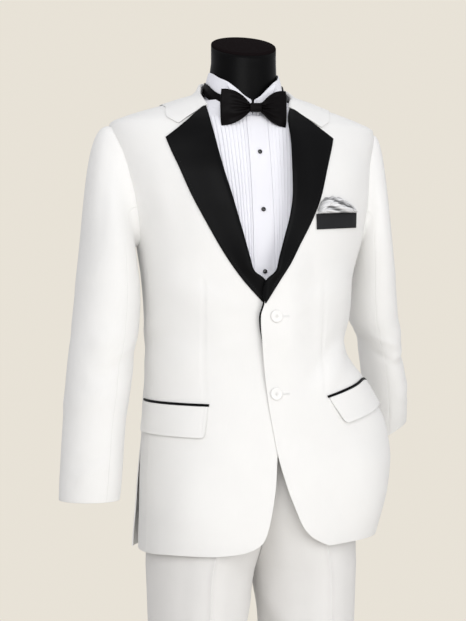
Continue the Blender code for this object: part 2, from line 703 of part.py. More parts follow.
def pocket_jet(name, hand, look):
    flap, start = FLAPS[hand], pocket_start(hand)

    def place(u, v, layer):
        aside = (flap["length"] + 2 * JET["past"]) * u - JET["past"]
        return side_ways(hand, start, flap, aside, JET["drop"] * v, ON_PANEL + JET["wall"] * (1 - layer))

    return cloth(name, look, 9, 1, place)


def pocket_flap(name, hand, look):
    flap, start = FLAPS[hand], pocket_start(hand)
    columns = (0.0, 0.015, 0.04, 0.09, 0.2, 0.35, 0.5, 0.65, 0.8, 0.91, 0.96, 0.985, 1.0)

    def place(u, v, layer):
        aside = flap["length"] * columns[round(u * (len(columns) - 1))]
        top = JET["drop"] + SEAM
        drop = rounded_drop(aside, flap["length"], flap["drop"], FLAP_CORNER)
        down = top + (drop - top) * v
        out = ON_PANEL + FLAP_LIFT * v + SUITING * 0.8 * (1 - layer)
        return side_ways(hand, start, flap, aside, down, out)

    return cloth(name, look, len(columns) - 1, 3, place)


# The breast welt's lower front corner, and the folded square that stands out of it: its rise and its puff.
WELT = {"x": 0.0862, "height": 1.2855, "tilt": 4, "length": 0.088, "rise": 0.0245, "wall": 0.0022}
SQUARE = Table(
    "share rise puff",
    (0.00, 0.004, 0.0010),
    (0.10, 0.024, 0.0050),
    (0.18, 0.030, 0.0090),
    (0.30, 0.024, 0.0060),
    (0.42, 0.028, 0.0100),
    (0.60, 0.026, 0.0070),
    (0.74, 0.020, 0.0095),
    (0.88, 0.013, 0.0050),
    (1.00, 0.003, 0.0010),
)


def welt_start():
    return turn_at_x(JACKET, WELT["x"], WELT["height"]), WELT["height"]


def breast_welt(name, look):
    def place(u, v, layer):
        out = ON_PANEL + WELT["wall"] * (1 - layer)
        aside = WELT["length"] * u
        return on_cloth(front_surface(1), welt_start(), WELT["tilt"], aside, -WELT["rise"] * v, out)

    return cloth(name, look, 7, 1, place)


def pocket_square(name, look):
    def place(u, v, layer):
        aside = WELT["length"] * (0.04 + 0.90 * u)
        up = WELT["rise"] + SEAM + SQUARE.at("rise", u) * v
        puff = 0.0012 + SQUARE.at("puff", u) * (1 - (1.6 * v - 0.6) ** 2 if v > 0 else 0.3)
        out = ON_PANEL + (puff if layer == 0 else 0.0)
        return on_cloth(front_surface(1), welt_start(), WELT["tilt"], aside, -up, out)

    return cloth(name, look, 16, 4, place)


def button(name, look, point, outwards, radius, depth, segments=12):
    """A round button, its back on the point."""
    bm = bmesh.new()
    bmesh.ops.create_cone(
        bm, cap_ends=True, segments=segments, radius1=radius, radius2=radius * 0.92, depth=depth
    )
    turned = outwards.to_track_quat("Z", "Y").to_matrix().to_4x4()
    bmesh.ops.transform(bm, matrix=Matrix.Translation(point + outwards * depth / 2) @ turned, verts=bm.verts)
    return add(bm, name, look)


FRONT_BUTTONS = {"upper": 1.1490, "lower": 1.0280}
BUTTON_X = 0.0122
BUTTON = {"radius": 0.0100, "depth": 0.0034}
# A negative off seats the cuff's buttons on the flats of the sleeve, which lie inside its curve.
CUFF_BUTTON = {"radius": 0.0070, "depth": 0.0028, "turn": 262, "first": 0.925, "pitch": 0.042, "off": -0.0004}


def front_button(name, height, look):
    turn = turn_at_x(JACKET, BUTTON_X, height)
    normal = outward(front_surface(1), turn, height)
    point = front_point(1, turn, height, SEAM)
    return button(name, look, point + normal * SEAM, normal, BUTTON["radius"], BUTTON["depth"], 16)


def cuff_button(name, hand, row, look):
    def surface(turn, v):
        return sleeve_point(hand, turn, v)

    v = CUFF_BUTTON["first"] - CUFF_BUTTON["pitch"] * row
    normal = outward(surface, CUFF_BUTTON["turn"], v, 1.0, 0.005) * hand
    point = surface(CUFF_BUTTON["turn"], v) + normal * CUFF_BUTTON["off"]
    return button(name, look, point, normal, CUFF_BUTTON["radius"], CUFF_BUTTON["depth"])


# The shirt. Its fronts meet under a placket, and a pleated bib lies on each front beside it.
PLACKET = {"half": 0.0170, "middle": 0.0010, "wall": 0.0016}
BIB = {"pleats": 10, "pitch": 0.0061, "fan": 1.8, "rise": 0.0016, "top": 1.4470, "gap": 0.0004}
ON_SHIRT = 0.0007
SHIRT_HEIGHTS = (1.045, 1.080, 1.120, 1.200, 1.280, 1.340, 1.400, 1.430, 1.449, 1.466, 1.480)
SHIRT_BACK_HEIGHTS = (*SHIRT_HEIGHTS, 1.493, 1.503)
PLACKET_HEIGHTS = (*SHIRT_HEIGHTS[1:8], 1.4460)
BIB_HEIGHTS = (*SHIRT_HEIGHTS[2:8], BIB["top"])
SHIRT_ARMHOLE = {"top": 1.449, "bottom": 1.255, "reach": 0.046}


def shirt_side_y(height, end):
    """The shirt's armhole, which is cut further in than its side seam."""
    middle = (SHIRT_ARMHOLE["top"] + SHIRT_ARMHOLE["bottom"]) / 2
    share = min(abs(height - middle) / (SHIRT_ARMHOLE["top"] - middle), 1.0)
    return (-1 if end == "front" else 1) * SHIRT_ARMHOLE["reach"] * sqrt(1 - share * share)


def shirt_neck_x(height):
    """The half width of the shirt's neck opening, where its collar stands."""
    return 0.0010 + 0.0600 * sqrt(ramp(height, 1.4490, 1.5010))


def shirt_front(name, hand, look):
    rows = len(SHIRT_HEIGHTS) - 1

    def place(u, v, layer):
        height = SHIRT_HEIGHTS[round(v * rows)]
        start = turn_at_x(SHIRT, PLACKET["middle"] + hand * (SEAM + shirt_neck_x(height)), height)
        end = turn_at_y(SHIRT, shirt_side_y(height, "front"), height, hand)
        end -= hand * seam_turns(shirt, end, height)
        return off(shirt, start + (end - start) * u, height, -SHIRTING * layer)

    return cloth(name, look, 6, rows, place)


def shirt_back(name, look):
    rows = len(SHIRT_BACK_HEIGHTS) - 1

    def place(u, v, layer):
        height = SHIRT_BACK_HEIGHTS[round(v * rows)]
        reach = turn_at_y(SHIRT, shirt_side_y(height, "back"), height, 1)
        reach += seam_turns(shirt, reach, height)
        turn = reach + (360 - 2 * reach) * u
        return off(shirt, turn if turn < 180 else turn - 360, height, -SHIRTING * layer)

    return cloth(name, look, 12, rows, place)


def shirt_bib(name, hand, look):
    """The pleats are pressed away from the placket, so each climbs slowly and drops steeply."""
    step = (0.0, 0.78)
    columns = [pleat + part for pleat in range(BIB["pleats"]) for part in step] + [BIB["pleats"]]
    last = len(columns) - 1
    rows = len(BIB_HEIGHTS) - 1

    def place(u, v, layer):
        column = round(u * last)
        height = BIB_HEIGHTS[round(v * rows)]
        pitch = BIB["pitch"] * (1 + BIB["fan"] * (height - BIB["top"]))
        x = PLACKET["middle"] + hand * (PLACKET["half"] + BIB["gap"] + columns[column] * pitch)
        raised = BIB["rise"] * (column % 2)
        out = ON_SHIRT + (SHIRTING * 0.8 + raised) * (1 - layer)
        return off(shirt, turn_at_x(SHIRT, x, height), height, out)

    return cloth(name, look, last, rows, place)


def shirt_placket(name, look):
    rows = len(PLACKET_HEIGHTS) - 1

    def place(u, v, layer):
        height = PLACKET_HEIGHTS[round(v * rows)]
        x = PLACKET["middle"] + PLACKET["half"] * (2 * u - 1)
        return off(shirt, turn_at_x(SHIRT, x, height), height, ON_SHIRT + PLACKET["wall"] * (1 - layer))

    return cloth(name, look, 2, rows, place)


STUDS = (1.4085, 1.3165, 1.2190)
STUD = {"radius": 0.0036, "depth": 0.0030}


def shirt_stud(name, height, look):
    turn = turn_at_x(SHIRT, PLACKET["middle"], height)
    normal = outward(shirt, turn, height)
    point = off(shirt, turn, height, ON_SHIRT + PLACKET["wall"] + SEAM)
    return button(name, look, point, normal, STUD["radius"], STUD["depth"])


# The wing collar's stand, from its opening in front (turn 0) to the middle of the back. It sits turned a
# little to the wearer's right, and leans in towards its top edge.
COLLAR_TURN = -3.5
STAND = Table(
    "turn low high reach_low reach_high",
    (0, 1.4480, 1.4925, 0.0740, 0.0715),
    (10, 1.4530, 1.5000, 0.0730, 0.0705),
    (20, 1.4600, 1.5110, 0.0720, 0.0695),
    (36, 1.4720, 1.5250, 0.0705, 0.0665),
    (51, 1.4860, 1.5320, 0.0690, 0.0630),
    (72, 1.4970, 1.5415, 0.0680, 0.0590),
    (90, 1.5034, 1.5455, 0.0687, 0.0572),
    (135, 1.5034, 1.5485, 0.0685, 0.0572),
    (180, 1.5034, 1.5490, 0.0685, 0.0572),
)
WING = {
    "tip_turn": 33.0, "tip_drop": 0.024, "root_turn": 5.0, "root_drop": 0.004, "out": 0.0030, "wall": 0.0012,
}
ON_COLLAR = 0.0007


def stand_point(turn, share, out):
    """A point of the collar's stand, share running from its foot to its top edge."""
    away = abs(turn)
    low, high = STAND.at("low", away), STAND.at("high", away)
    reach = STAND.at("reach_low", away)
    reach += (STAND.at("reach_high", away) - reach) * abs(share) ** 1.9 + out
    placed = radians(turn + COLLAR_TURN)
    return Vector((sin(placed) * reach, -cos(placed) * reach, low + (high - low) * share))


def collar_stand(name, look):
    """One band round the neck, open in front in a narrow V above the stud."""

    def place(u, v, layer):
        opening = 0.4 + 3.0 * v * v
        turn = opening + (360 - 2 * opening) * u
        return stand_point(turn if turn < 180 else turn - 360, v, -SHIRTING * 1.4 * layer)

    return cloth(name, look, 30, 3, place)


def collar_wing(name, hand, look):
    """The folded tip: a triangle that hangs from the top edge, out in front of the stand."""

    def place(u, v, layer):
        turn = WING["root_turn"] + (WING["tip_turn"] - WING["root_turn"]) * u
        drop = (WING["root_drop"] + WING["tip_drop"] * (1 - u) ** 0.8) * v
        size = STAND.at("high", turn) - STAND.at("low", turn)
        out = ON_COLLAR + WING["out"] * v + WING["wall"] * (1 - layer)
        return stand_point(hand * turn, 0.985 - drop / size, out)

    return cloth(name, look, 6, 3, place)


# The bow tie: half of it from the knot (share 0) to its end (share 1).
BOW = {"x": -0.0047, "height": 1.4795, "y": -0.0860}
BOW_WING = Table(
    "share x half lift back thick",
    (0.00, 0.0098, 0.0072, 0.0000, 0.0000, 0.0075),
    (0.12, 0.0145, 0.0098, 0.0000, -0.0005, 0.0100),
    (0.30, 0.0230, 0.0160, 0.0004, 0.0010, 0.0110),
    (0.55, 0.0350, 0.0235, 0.0006, 0.0040, 0.0090),
    (0.80, 0.0460, 0.0280, 0.0004, 0.0075, 0.0068),
    (1.00, 0.0535, 0.0292, 0.0000, 0.0100, 0.0052),
)
BOW_PLEATS = (0.16, 0.42, 0.62, 0.86)


def bow_wing(name, hand, look):
    """A flat-ended wing, pinched at the knot into pleats that fan out and die away before its end."""

    def place(u, v, layer):
        half = BOW_WING.at("half", u)
        up = (2 * v - 1) * half + BOW_WING.at("lift", u)
        pinch = sum(2.718 ** (-(((v - pleat) / 0.07) ** 2)) for pleat in BOW_PLEATS)
        pinch *= 0.0026 * (1 - ramp(u, 0.25, 0.85))
        depth = BOW_WING.at("thick", u) * (0.55 + 0.45 * sin(pi * v))
        end = 0.0018 * sin(pi * v) * u
        y = BOW["y"] + BOW_WING.at("back", u) + (pinch - depth / 2 if layer == 0 else depth / 2)
        return Vector((BOW["x"] + hand * (BOW_WING.at("x", u) + end), y, BOW["height"] + up))

    return cloth(name, look, 6, 12, place)


KNOT = {"half_width": 0.0084, "half_height": 0.0082, "depth": 0.0150}


def bow_knot(name, look):
    """The pinched centre: a short soft-edged block, a little wider in its middle."""
    bm = bmesh.new()
    bmesh.ops.create_cube(bm, size=2.0)
    bmesh.ops.bevel(bm, geom=bm.edges[:], offset=0.45, segments=2, profile=0.6, affect="EDGES")
    for vert in bm.verts:
        swell = 1 + 0.10 * (1 - vert.co.z**2)
        vert.co.x = vert.co.x * KNOT["half_width"] * swell + BOW["x"]
        vert.co.y = vert.co.y * KNOT["depth"] / 2 + BOW["y"]
        vert.co.z = vert.co.z * KNOT["half_height"] + BOW["height"]
    return add(bm, name, look)


# The bow's neck band, round the collar's stand: its middle's height, and half its width. Near the bow it
# passes over the collar's wings.
BAND = Table(
    "turn height half out",
    (0, 1.4800, 0.0060, 0.0056),
    (28, 1.4870, 0.0070, 0.0056),
    (46, 1.4955, 0.0080, 0.0013),
    (80, 1.5150, 0.0105, 0.0013),
    (125, 1.5240, 0.0100, 0.0013),
    (180, 1.5265, 0.0100, 0.0013),
)
BAND_START = 8.0
BAND_WALL = 0.0013


def bow_band(name, look):
    """The neck band lies round the collar's stand, below its top edge, and ends behind the bow."""

    def place(u, v, layer):
        turn = BAND_START + (360 - 2 * BAND_START) * u
        turn = turn if turn < 180 else turn - 360
        away = abs(turn)
        low, high = STAND.at("low", away), STAND.at("high", away)
        share = (BAND.at("height", away) + (2 * v - 1) * BAND.at("half", away) - low) / (high - low)
        return stand_point(turn, share, BAND.at("out", away) + BAND_WALL * (1 - layer))

    return cloth(name, look, 30, 1, place)


# The trousers.
TROUSER_HEIGHTS = (
    TROUSER_HEM, 0.090, 0.180, 0.300, 0.430, 0.560, 0.650, 0.705, FORK_HEIGHT, 0.755, 0.790, 0.840, 0.900,
    0.965, 1.0297,
)
TROUSER_FOLDS = (
    (-150, 0.430, -60, 0.470, 0.034, 0.0035),
    (60, 0.450, 150, 0.420, 0.034, 0.0030),
    (-70, 0.700, -20, 0.640, 0.030, 0.0035),
    (40, 0.350, 10, 0.250, 0.030, 0.0030),
)
LEG_GIRTH = 0.085


def leg_point(hand, turn, height):
    """A point of one leg: turn 0 is its front crease, 90 its outer side, 180 its back, -90 its inner side."""
    sine, cosine = sin(radians(turn)), cos(radians(turn))
    side = LEG.at("outer" if sine > 0 else "inner", height)
    depth = LEG.at("front" if cosine > 0 else "back", height)
    power = LEG.at("square", height)
    reach = (abs(sine / side) ** power + abs(cosine / depth) ** power) ** (-1 / power)
    from_crease = min(abs(turn), abs(180 - abs(turn)))
    reach += LEG.at("crease", height) * max(1 - from_crease / 16, 0.0) ** 1.3
    reach += fold_rise(TROUSER_FOLDS, turn, height, LEG_GIRTH)
    x = LEG.at("middle", height) + hand * (LEG.at("offset", height) + reach * sine)
    return Vector((x, -reach * cosine, height))


def inner_turn(height, end):
    """Where a leg's section meets the centre seam above the fork, or its own inseam below it."""
    offset = max(LEG.at("offset", height) - SEAM / 2, 0.0)
    inner = LEG.at("inner", height)
    if offset >= inner:
        return -90.0
    depth = LEG.at(end, height)
    power = LEG.at("square", height)
    away = depth * (1 - (offset / inner) ** power) ** (1 / power)
    turn = -degrees(atan2(offset, away))
    return turn if end == "front" else -180 - turn


def trouser_panel(name, hand, end, look):
    rows = len(TROUSER_HEIGHTS) - 1

    def surface(turn, height):
        return leg_point(hand, turn, height)

    columns = (0.0, 0.15, 0.31, 0.43, 0.50, 0.57, 0.69, 0.85, 1.0)

    def place(u, v, layer):
        height = TROUSER_HEIGHTS[round(v * rows)]
        inner = inner_turn(height, end)
        outer = 90.0 if end == "front" else -270.0
        crease = 0.0 if end == "front" else -180.0
        share = columns[round(u * (len(columns) - 1))]
        if share <= 0.5:
            turn = inner + (crease - inner) * share * 2
        else:
            turn = crease + (outer - crease) * (share * 2 - 1)
        into = (1 if u == 0 else -1 if u == 1 else 0) * (1 if end == "front" else -1)
        turn += into * abs(seam_turns(surface, turn, height))
        probe = min(max(turn, min(inner, outer) + 0.6), max(inner, outer) - 0.6)
        normal = outward(surface, probe, height) * hand
        point = surface(turn if turn > -180 else turn + 360, height)
        return point - normal * TROUSER_CLOTH * layer

    return cloth(name, look, len(columns) - 1, rows, place)


def waistband(name, look):
    """One band, open by a seam's width at the middle of the back."""

    def surface(turn, height):
        sine, cosine = sin(radians(turn)), cos(radians(turn))
        depth = LEG.at("front" if cosine > 0 else "back", height)
        power = LEG.at("square", height)
        reach = (abs(sine / LEG.at("outer", height)) ** power + abs(cosine / depth) ** power) ** (-1 / power)
        return Vector((LEG.at("middle", height) + reach * sine, -reach * cosine, height))

    def place(u, v, layer):
        height = WAISTBAND["low"] + (WAISTBAND["high"] - WAISTBAND["low"]) * v
        turn = -180 + seam_turns(surface, 180, height) + u * (360 - 2 * seam_turns(surface, 180, height))
        return off(surface, turn, height, SEAM - BAND_CLOTH * layer)

    return cloth(name, look, 24, 1, place)


# The dress form and its stand.
NECK_CAP = {"front": 1.5710, "back": 1.6160, "depth": 0.0530, "thick": 0.0040}
POLE = {"x": 0.1070, "radius": 0.0125, "low": 0.0103, "high": 0.8520}
FLANGE = {"radius": 0.0190, "low": 0.8523, "high": 0.8617}
BASE = {"radius": 0.200, "thick": 0.0100, "rim": 0.003}
FORM_HEIGHTS = (
    0.862, 0.870, 0.900, 0.950, 1.010, 1.080, 1.150, 1.220, 1.290, 1.350, 1.395, 1.422, 1.438, 1.452, 1.466,
    1.480, 1.496, 1.520, 1.545,
)
FORM_SEGMENTS = 24


def neck_plane(y):
    """The height of the form's tilted top at a depth."""
    share = (y + NECK_CAP["depth"]) / (2 * NECK_CAP["depth"])
    return NECK_CAP["front"] + (NECK_CAP["back"] - NECK_CAP["front"]) * share


def dress_form(name, look):
    """Level rings drawn up from the flat underside, the last one laid on the neck's tilted plane."""
    bm = bmesh.new()
    bmesh.ops.create_circle(bm, cap_ends=True, segments=FORM_SEGMENTS, radius=1.0)
    rim = bm.edges[:]
    for level in range(1, len(FORM_HEIGHTS) + 1):
        grown = bmesh.ops.extrude_edge_only(bm, edges=rim)["geom"]
        rim = [item for item in grown if isinstance(item, bmesh.types.BMEdge)]
        for vert in (item for item in grown if isinstance(item, bmesh.types.BMVert)):
            vert.co.z = level
    bmesh.ops.holes_fill(bm, edges=rim)
    for vert in bm.verts:
        level = round(vert.co.z)
        turn = degrees(atan2(vert.co.x, -vert.co.y))
        if level < len(FORM_HEIGHTS):
            vert.co = level_point(FORM, turn, FORM_HEIGHTS[level])
        else:
            vert.co = level_point(FORM, turn, 1.590)
            vert.co.z = neck_plane(vert.co.y) - NECK_CAP["thick"] - SEAM
    return add(bm, name, look)


def neck_cap(name, look):
    """A flat oval lid on the neck, its upper edge rounded."""
    bm = bmesh.new()
    bmesh.ops.create_circle(bm, cap_ends=True, segments=FORM_SEGMENTS, radius=1.0)
    rings = (("share", 0.0), ("thick", 0.55), ("round", 0.88), ("top", 1.0))
    inset = {"share": 1.0, "thick": 1.0, "round": 0.975, "top": 0.93}
    rim = bm.edges[:]
    for level in range(1, len(rings)):
        grown = bmesh.ops.extrude_edge_only(bm, edges=rim)["geom"]
        rim = [item for item in grown if isinstance(item, bmesh.types.BMEdge)]
        for vert in (item for item in grown if isinstance(item, bmesh.types.BMVert)):
            vert.co.z = level
    bmesh.ops.holes_fill(bm, edges=rim)
    for vert in bm.verts:
        place, rise = rings[round(vert.co.z)]
        turn = degrees(atan2(vert.co.x, -vert.co.y))
        point = level_point(FORM, turn, 1.590)
        point.x *= inset[place]
        point.y *= inset[place]
        point.z = neck_plane(point.y) - NECK_CAP["thick"] * (1 - rise)
        vert.co = point
    return add(bm, name, look)


def turned(name, look, x, low, high, radius, segments, rim=0.0):
    """An upright round bar or disc, its upper edge chamfered by rim."""
    bm = bmesh.new()
    depth = high - low
    bmesh.ops.create_cone(bm, cap_ends=True, segments=segments, radius1=radius, radius2=radius, depth=depth)
    if rim:
        top = [edge for edge in bm.edges if min(edge.verts[0].co.z, edge.verts[1].co.z) > 0]
        bmesh.ops.bevel(bm, geom=top, offset=rim, segments=1, affect="EDGES")
    bmesh.ops.translate(bm, verts=bm.verts, vec=(x, 0, (low + high) / 2))
    return add(bm, name, look)


def main():
    clear_scene()
    collection = bpy.data.collections.new("Tuxedo")
    bpy.context.scene.collection.children.link(collection)

    white_suiting = material("white_suiting", (0.86, 0.85, 0.83), 0.80)
    white_trousering = material("white_trousering", (0.80, 0.79, 0.77), 0.80)
    black_satin = material("black_satin", (0.012, 0.012, 0.013), 0.35)
    white_shirting = material("white_shirting", (0.84, 0.84, 0.88), 0.75)
    black_tie_satin = material("black_tie_satin", (0.020, 0.017, 0.019), 0.40)
    grey_silk = material("grey_silk", (0.42, 0.42, 0.43), 0.40)
    white_button = material("white_button", (0.83, 0.82, 0.80), 0.35)
    black_stud = material("black_stud", (0.015, 0.015, 0.017), 0.20)
    black_jersey = material("black_jersey", (0.016, 0.016, 0.017), 0.55)
    black_lid = material("black_lid", (0.012, 0.012, 0.013), 0.45)
    brushed_steel = material("brushed_steel", (0.55, 0.55, 0.56), 0.35, 1.0)

    dress_form("dress_form", black_jersey)
    neck_cap("neck_cap", black_lid)
    turned("stand_flange", brushed_steel, POLE["x"], FLANGE["low"], FLANGE["high"], FLANGE["radius"], 24)
    turned("stand_pole", brushed_steel, POLE["x"], POLE["low"], POLE["high"], POLE["radius"], 24)
    turned("stand_base", brushed_steel, 0.0, 0.0, BASE["thick"], BASE["radius"], 48, BASE["rim"])

    shirt_back("shirt_back", white_shirting)
    shirt_placket("shirt_placket", white_shirting)
    collar_stand("shirt_collar_stand", white_shirting)
    for row, height in enumerate(STUDS, 1):
        shirt_stud(f"shirt_stud_{row}", height, black_stud)
    bow_band("bow_tie_band", black_tie_satin)
    bow_knot("bow_tie_knot", black_tie_satin)
    waistband("trouser_waistband", white_trousering)
    jacket_collar("jacket_collar", white_suiting)
    breast_welt("breast_welt", black_satin)
    pocket_square("pocket_square", grey_silk)
    for row, height in FRONT_BUTTONS.items():
        front_button(f"front_button_{row}", height, white_button)

    for hand, side in ((-1, "right"), (1, "left")):
        shirt_front(f"shirt_front_{side}", hand, white_shirting)
        shirt_bib(f"shirt_bib_{side}", hand, white_shirting)
        collar_wing(f"shirt_collar_wing_{side}", hand, white_shirting)
        bow_wing(f"bow_tie_wing_{side}", hand, black_tie_satin)
        trouser_panel(f"trouser_front_{side}", hand, "front", white_trousering)
        trouser_panel(f"trouser_back_{side}", hand, "back", white_trousering)
        jacket_front(f"jacket_front_{side}", hand, white_suiting)
        jacket_side(f"jacket_side_{side}", hand, white_suiting)
        jacket_back(f"jacket_back_{side}", hand, white_suiting)
        lapel(f"lapel_{side}", hand, black_satin)
        front_seam, back_seam = SLEEVE_SEAMS["front"], SLEEVE_SEAMS["back"]
        sleeve(f"sleeve_top_{side}", hand, white_suiting, back_seam - 360, front_seam, 11)
        sleeve(f"sleeve_under_{side}", hand, white_suiting, front_seam, back_seam, 6)
        pocket_jet(f"pocket_jet_{side}", hand, black_satin)
        pocket_flap(f"pocket_flap_{side}", hand, white_suiting)
        for row in range(3):
            cuff_button(f"cuff_button_{side}_{row + 1}", hand, row, white_button)


main()
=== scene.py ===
"""A white tuxedo with black satin trim, worn by a limbless dress form on its stand, dressed and lit.

Metres, +Z up. The wearer faces -Y, so the wearer's left is +X. Turns run from 0 in front to 90 at the
wearer's left. The file follows the outfit as it is put on: stand and form, shirt, bow tie, trousers, jacket.
"""

from functools import partial
from math import radians

import bmesh
import bpy
import numpy as np
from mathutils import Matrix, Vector


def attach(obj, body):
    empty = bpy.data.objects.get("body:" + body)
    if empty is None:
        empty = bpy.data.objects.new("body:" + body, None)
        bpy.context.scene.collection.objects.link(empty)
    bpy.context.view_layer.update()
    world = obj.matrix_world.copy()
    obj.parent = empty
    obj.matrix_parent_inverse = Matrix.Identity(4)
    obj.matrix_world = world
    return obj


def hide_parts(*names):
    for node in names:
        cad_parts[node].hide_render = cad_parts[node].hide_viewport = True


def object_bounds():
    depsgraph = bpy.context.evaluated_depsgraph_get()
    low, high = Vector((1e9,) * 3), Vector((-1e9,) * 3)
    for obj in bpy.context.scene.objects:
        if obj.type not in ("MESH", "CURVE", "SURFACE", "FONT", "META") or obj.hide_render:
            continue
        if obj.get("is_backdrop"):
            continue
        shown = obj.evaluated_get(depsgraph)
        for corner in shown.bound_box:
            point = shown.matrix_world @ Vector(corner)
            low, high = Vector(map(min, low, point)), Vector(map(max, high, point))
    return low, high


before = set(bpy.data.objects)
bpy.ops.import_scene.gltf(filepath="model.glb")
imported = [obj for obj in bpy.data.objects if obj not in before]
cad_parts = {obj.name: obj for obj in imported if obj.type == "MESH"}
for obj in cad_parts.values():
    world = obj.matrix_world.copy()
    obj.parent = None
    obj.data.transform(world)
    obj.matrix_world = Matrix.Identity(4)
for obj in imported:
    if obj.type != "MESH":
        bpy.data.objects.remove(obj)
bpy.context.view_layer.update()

# ---------------------------------------------------------------------------------------------------------
# The studio: a level camera a little to the wearer's right of the middle, a round pale floor, and large soft
# lights. The light falls from above in front, on the wearer's right, and the room fills the shadows.
CAMERA = {"place": (-0.70486, -2.39863, 1.158), "turn": -16.0, "lens": 88.406, "sensor": 36.0}
ROOM = {"light": (0.82, 0.82, 0.84, 1.0), "strength": 0.70, "backdrop": (0.807, 0.763, 0.680, 1.0)}
LIGHTS = (
    # name, place, aimed at, size, power
    ("key", (-1.05, -3.0, 2.3), (0.0, 0.0, 1.15), 2.2, 45.0),
    ("fill", (1.25, -2.9, 1.1), (0.0, 0.0, 1.10), 2.0, 24.0),
    ("top", (0.0, 0.3, 3.0), (0.0, 0.0, 1.2), 1.6, 4.0),
    ("back", (0.9, 2.5, 2.0), (0.0, 0.0, 1.1), 1.6, 11.0),
)
scene = bpy.context.scene


def placed(made):
    """An object, linked into the scene."""
    scene.collection.objects.link(made)
    return made


camera_data = bpy.data.cameras.new("studio_camera")
camera_data.lens = CAMERA["lens"]
camera_data.sensor_width = CAMERA["sensor"]
camera = placed(bpy.data.objects.new("studio_camera", camera_data))
camera.location = CAMERA["place"]
camera.rotation_euler = (radians(90), 0, radians(CAMERA["turn"]))
scene.camera = camera
scene.view_settings.view_transform = "Standard"

world = bpy.data.worlds.new("studio_room")
world.use_nodes = True
scene.world = world
room = world.node_tree
room_light = room.nodes["Background"]
room_light.inputs["Color"].default_value = ROOM["light"]
room_light.inputs["Strength"].default_value = ROOM["strength"]
backdrop = room.nodes.new("ShaderNodeBackground")
backdrop.inputs["Color"].default_value = ROOM["backdrop"]
seen = room.nodes.new("ShaderNodeLightPath")
either = room.nodes.new("ShaderNodeMixShader")
room.links.new(seen.outputs["Is Camera Ray"], either.inputs["Fac"])
room.links.new(room_light.outputs[0], either.inputs[1])
room.links.new(backdrop.outputs[0], either.inputs[2])
room.links.new(either.outputs[0], room.nodes["World Output"].inputs["Surface"])

for light_name, place, aim, size, power in LIGHTS:
    light_data = bpy.data.lights.new("light_" + light_name, "AREA")
    light_data.shape = "DISK"
    light_data.size = size
    light_data.energy = power
    light = placed(bpy.data.objects.new("light_" + light_name, light_data))
    light.location = place
    light.rotation_euler = (Vector(aim) - Vector(place)).to_track_quat("-Z", "Y").to_euler()


def shader_of(name, roughness, metallic=0.0, **sockets):
    """A new material, its tree and its shader, with the sockets that are the same all over set on it."""
    made = bpy.data.materials.new(name)
    made.use_nodes = True
    shader = made.node_tree.nodes["Principled BSDF"]
    shader.inputs["Roughness"].default_value = roughness
    shader.inputs["Metallic"].default_value = metallic
    for socket, value in sockets.items():
        shader.inputs[socket.replace("_", " ")].default_value = value
    return made, made.node_tree, shader


def add_node(tree, kind, settings=None, **inputs):
    """A node with its settings, and each input set or linked."""
    made = tree.nodes.new("ShaderNode" + kind)
    for key, value in (settings or {}).items():
        setattr(made, key, value)
    for key, value in inputs.items():
        socket = made.inputs[key.replace("_", " ")]
        if isinstance(value, bpy.types.NodeSocket):
            tree.links.new(value, socket)
        else:
            socket.default_value = value
    return made


def between(tree, share, low, high):
    """A colour that runs from low to high with a share."""
    ramp_node = add_node(tree, "ValToRGB", Fac=share)
    ramp_node.color_ramp.elements[0].color = (*low, 1.0)
    ramp_node.color_ramp.elements[1].color = (*high, 1.0)
    return ramp_node.outputs["Color"]


def noise(tree, place, scale, detail, **settings):
    """A soft grey noise over a place."""
    return add_node(tree, "TexNoise", Vector=place, Scale=scale, Detail=detail, **settings).outputs["Fac"]


def bands(tree, place, way, scale, wobble):
    """Soft bands that follow each other along X, Y or Z."""
    made = add_node(tree, "TexWave", {"bands_direction": way}, Vector=place, Scale=scale, Distortion=wobble)
    return made.outputs["Fac"]


def summed(tree, first, second, share=None):
    """Two values added up. With a share, only that part of the first is added."""
    made = add_node(tree, "Math", {"operation": "ADD" if share is None else "MULTIPLY_ADD"})
    tree.links.new(first, made.inputs[0])
    if share is not None:
        made.inputs[1].default_value = share
    tree.links.new(second, made.inputs[1 if share is None else 2])
    return made.outputs[0]


def surfaced(tree, shader, colour, rough, ends, relief=None, distance=0.0, strength=0.5):
    """Links a shader to its colour, to its roughness between two ends, and to its relief."""
    tree.links.new(colour, shader.inputs["Base Color"])
    ranged = add_node(tree, "MapRange", Value=rough, To_Min=ends[0], To_Max=ends[1])
    tree.links.new(ranged.outputs["Result"], shader.inputs["Roughness"])
    if relief is not None:
        bump = add_node(tree, "Bump", Height=relief, Distance=distance, Strength=strength)
        tree.links.new(bump.outputs["Normal"], shader.inputs["Normal"])


def painted(name, low, high, scale, roughness, relief=0.0, **sockets):
    """A plain finish with soft cloudy variation in its colour, its roughness and its surface."""
    made, tree, shader = shader_of(name, roughness, **sockets)
    place = add_node(tree, "TexCoord").outputs["Object"]
    cloud = noise(tree, place, scale, 6.0, Roughness=0.6)
    grain = noise(tree, place, scale * 40, 3.0) if relief else None
    ends = (roughness * 0.85, roughness * 1.15)
    surfaced(tree, shader, between(tree, cloud, low, high), cloud, ends, grain, relief)
    return made


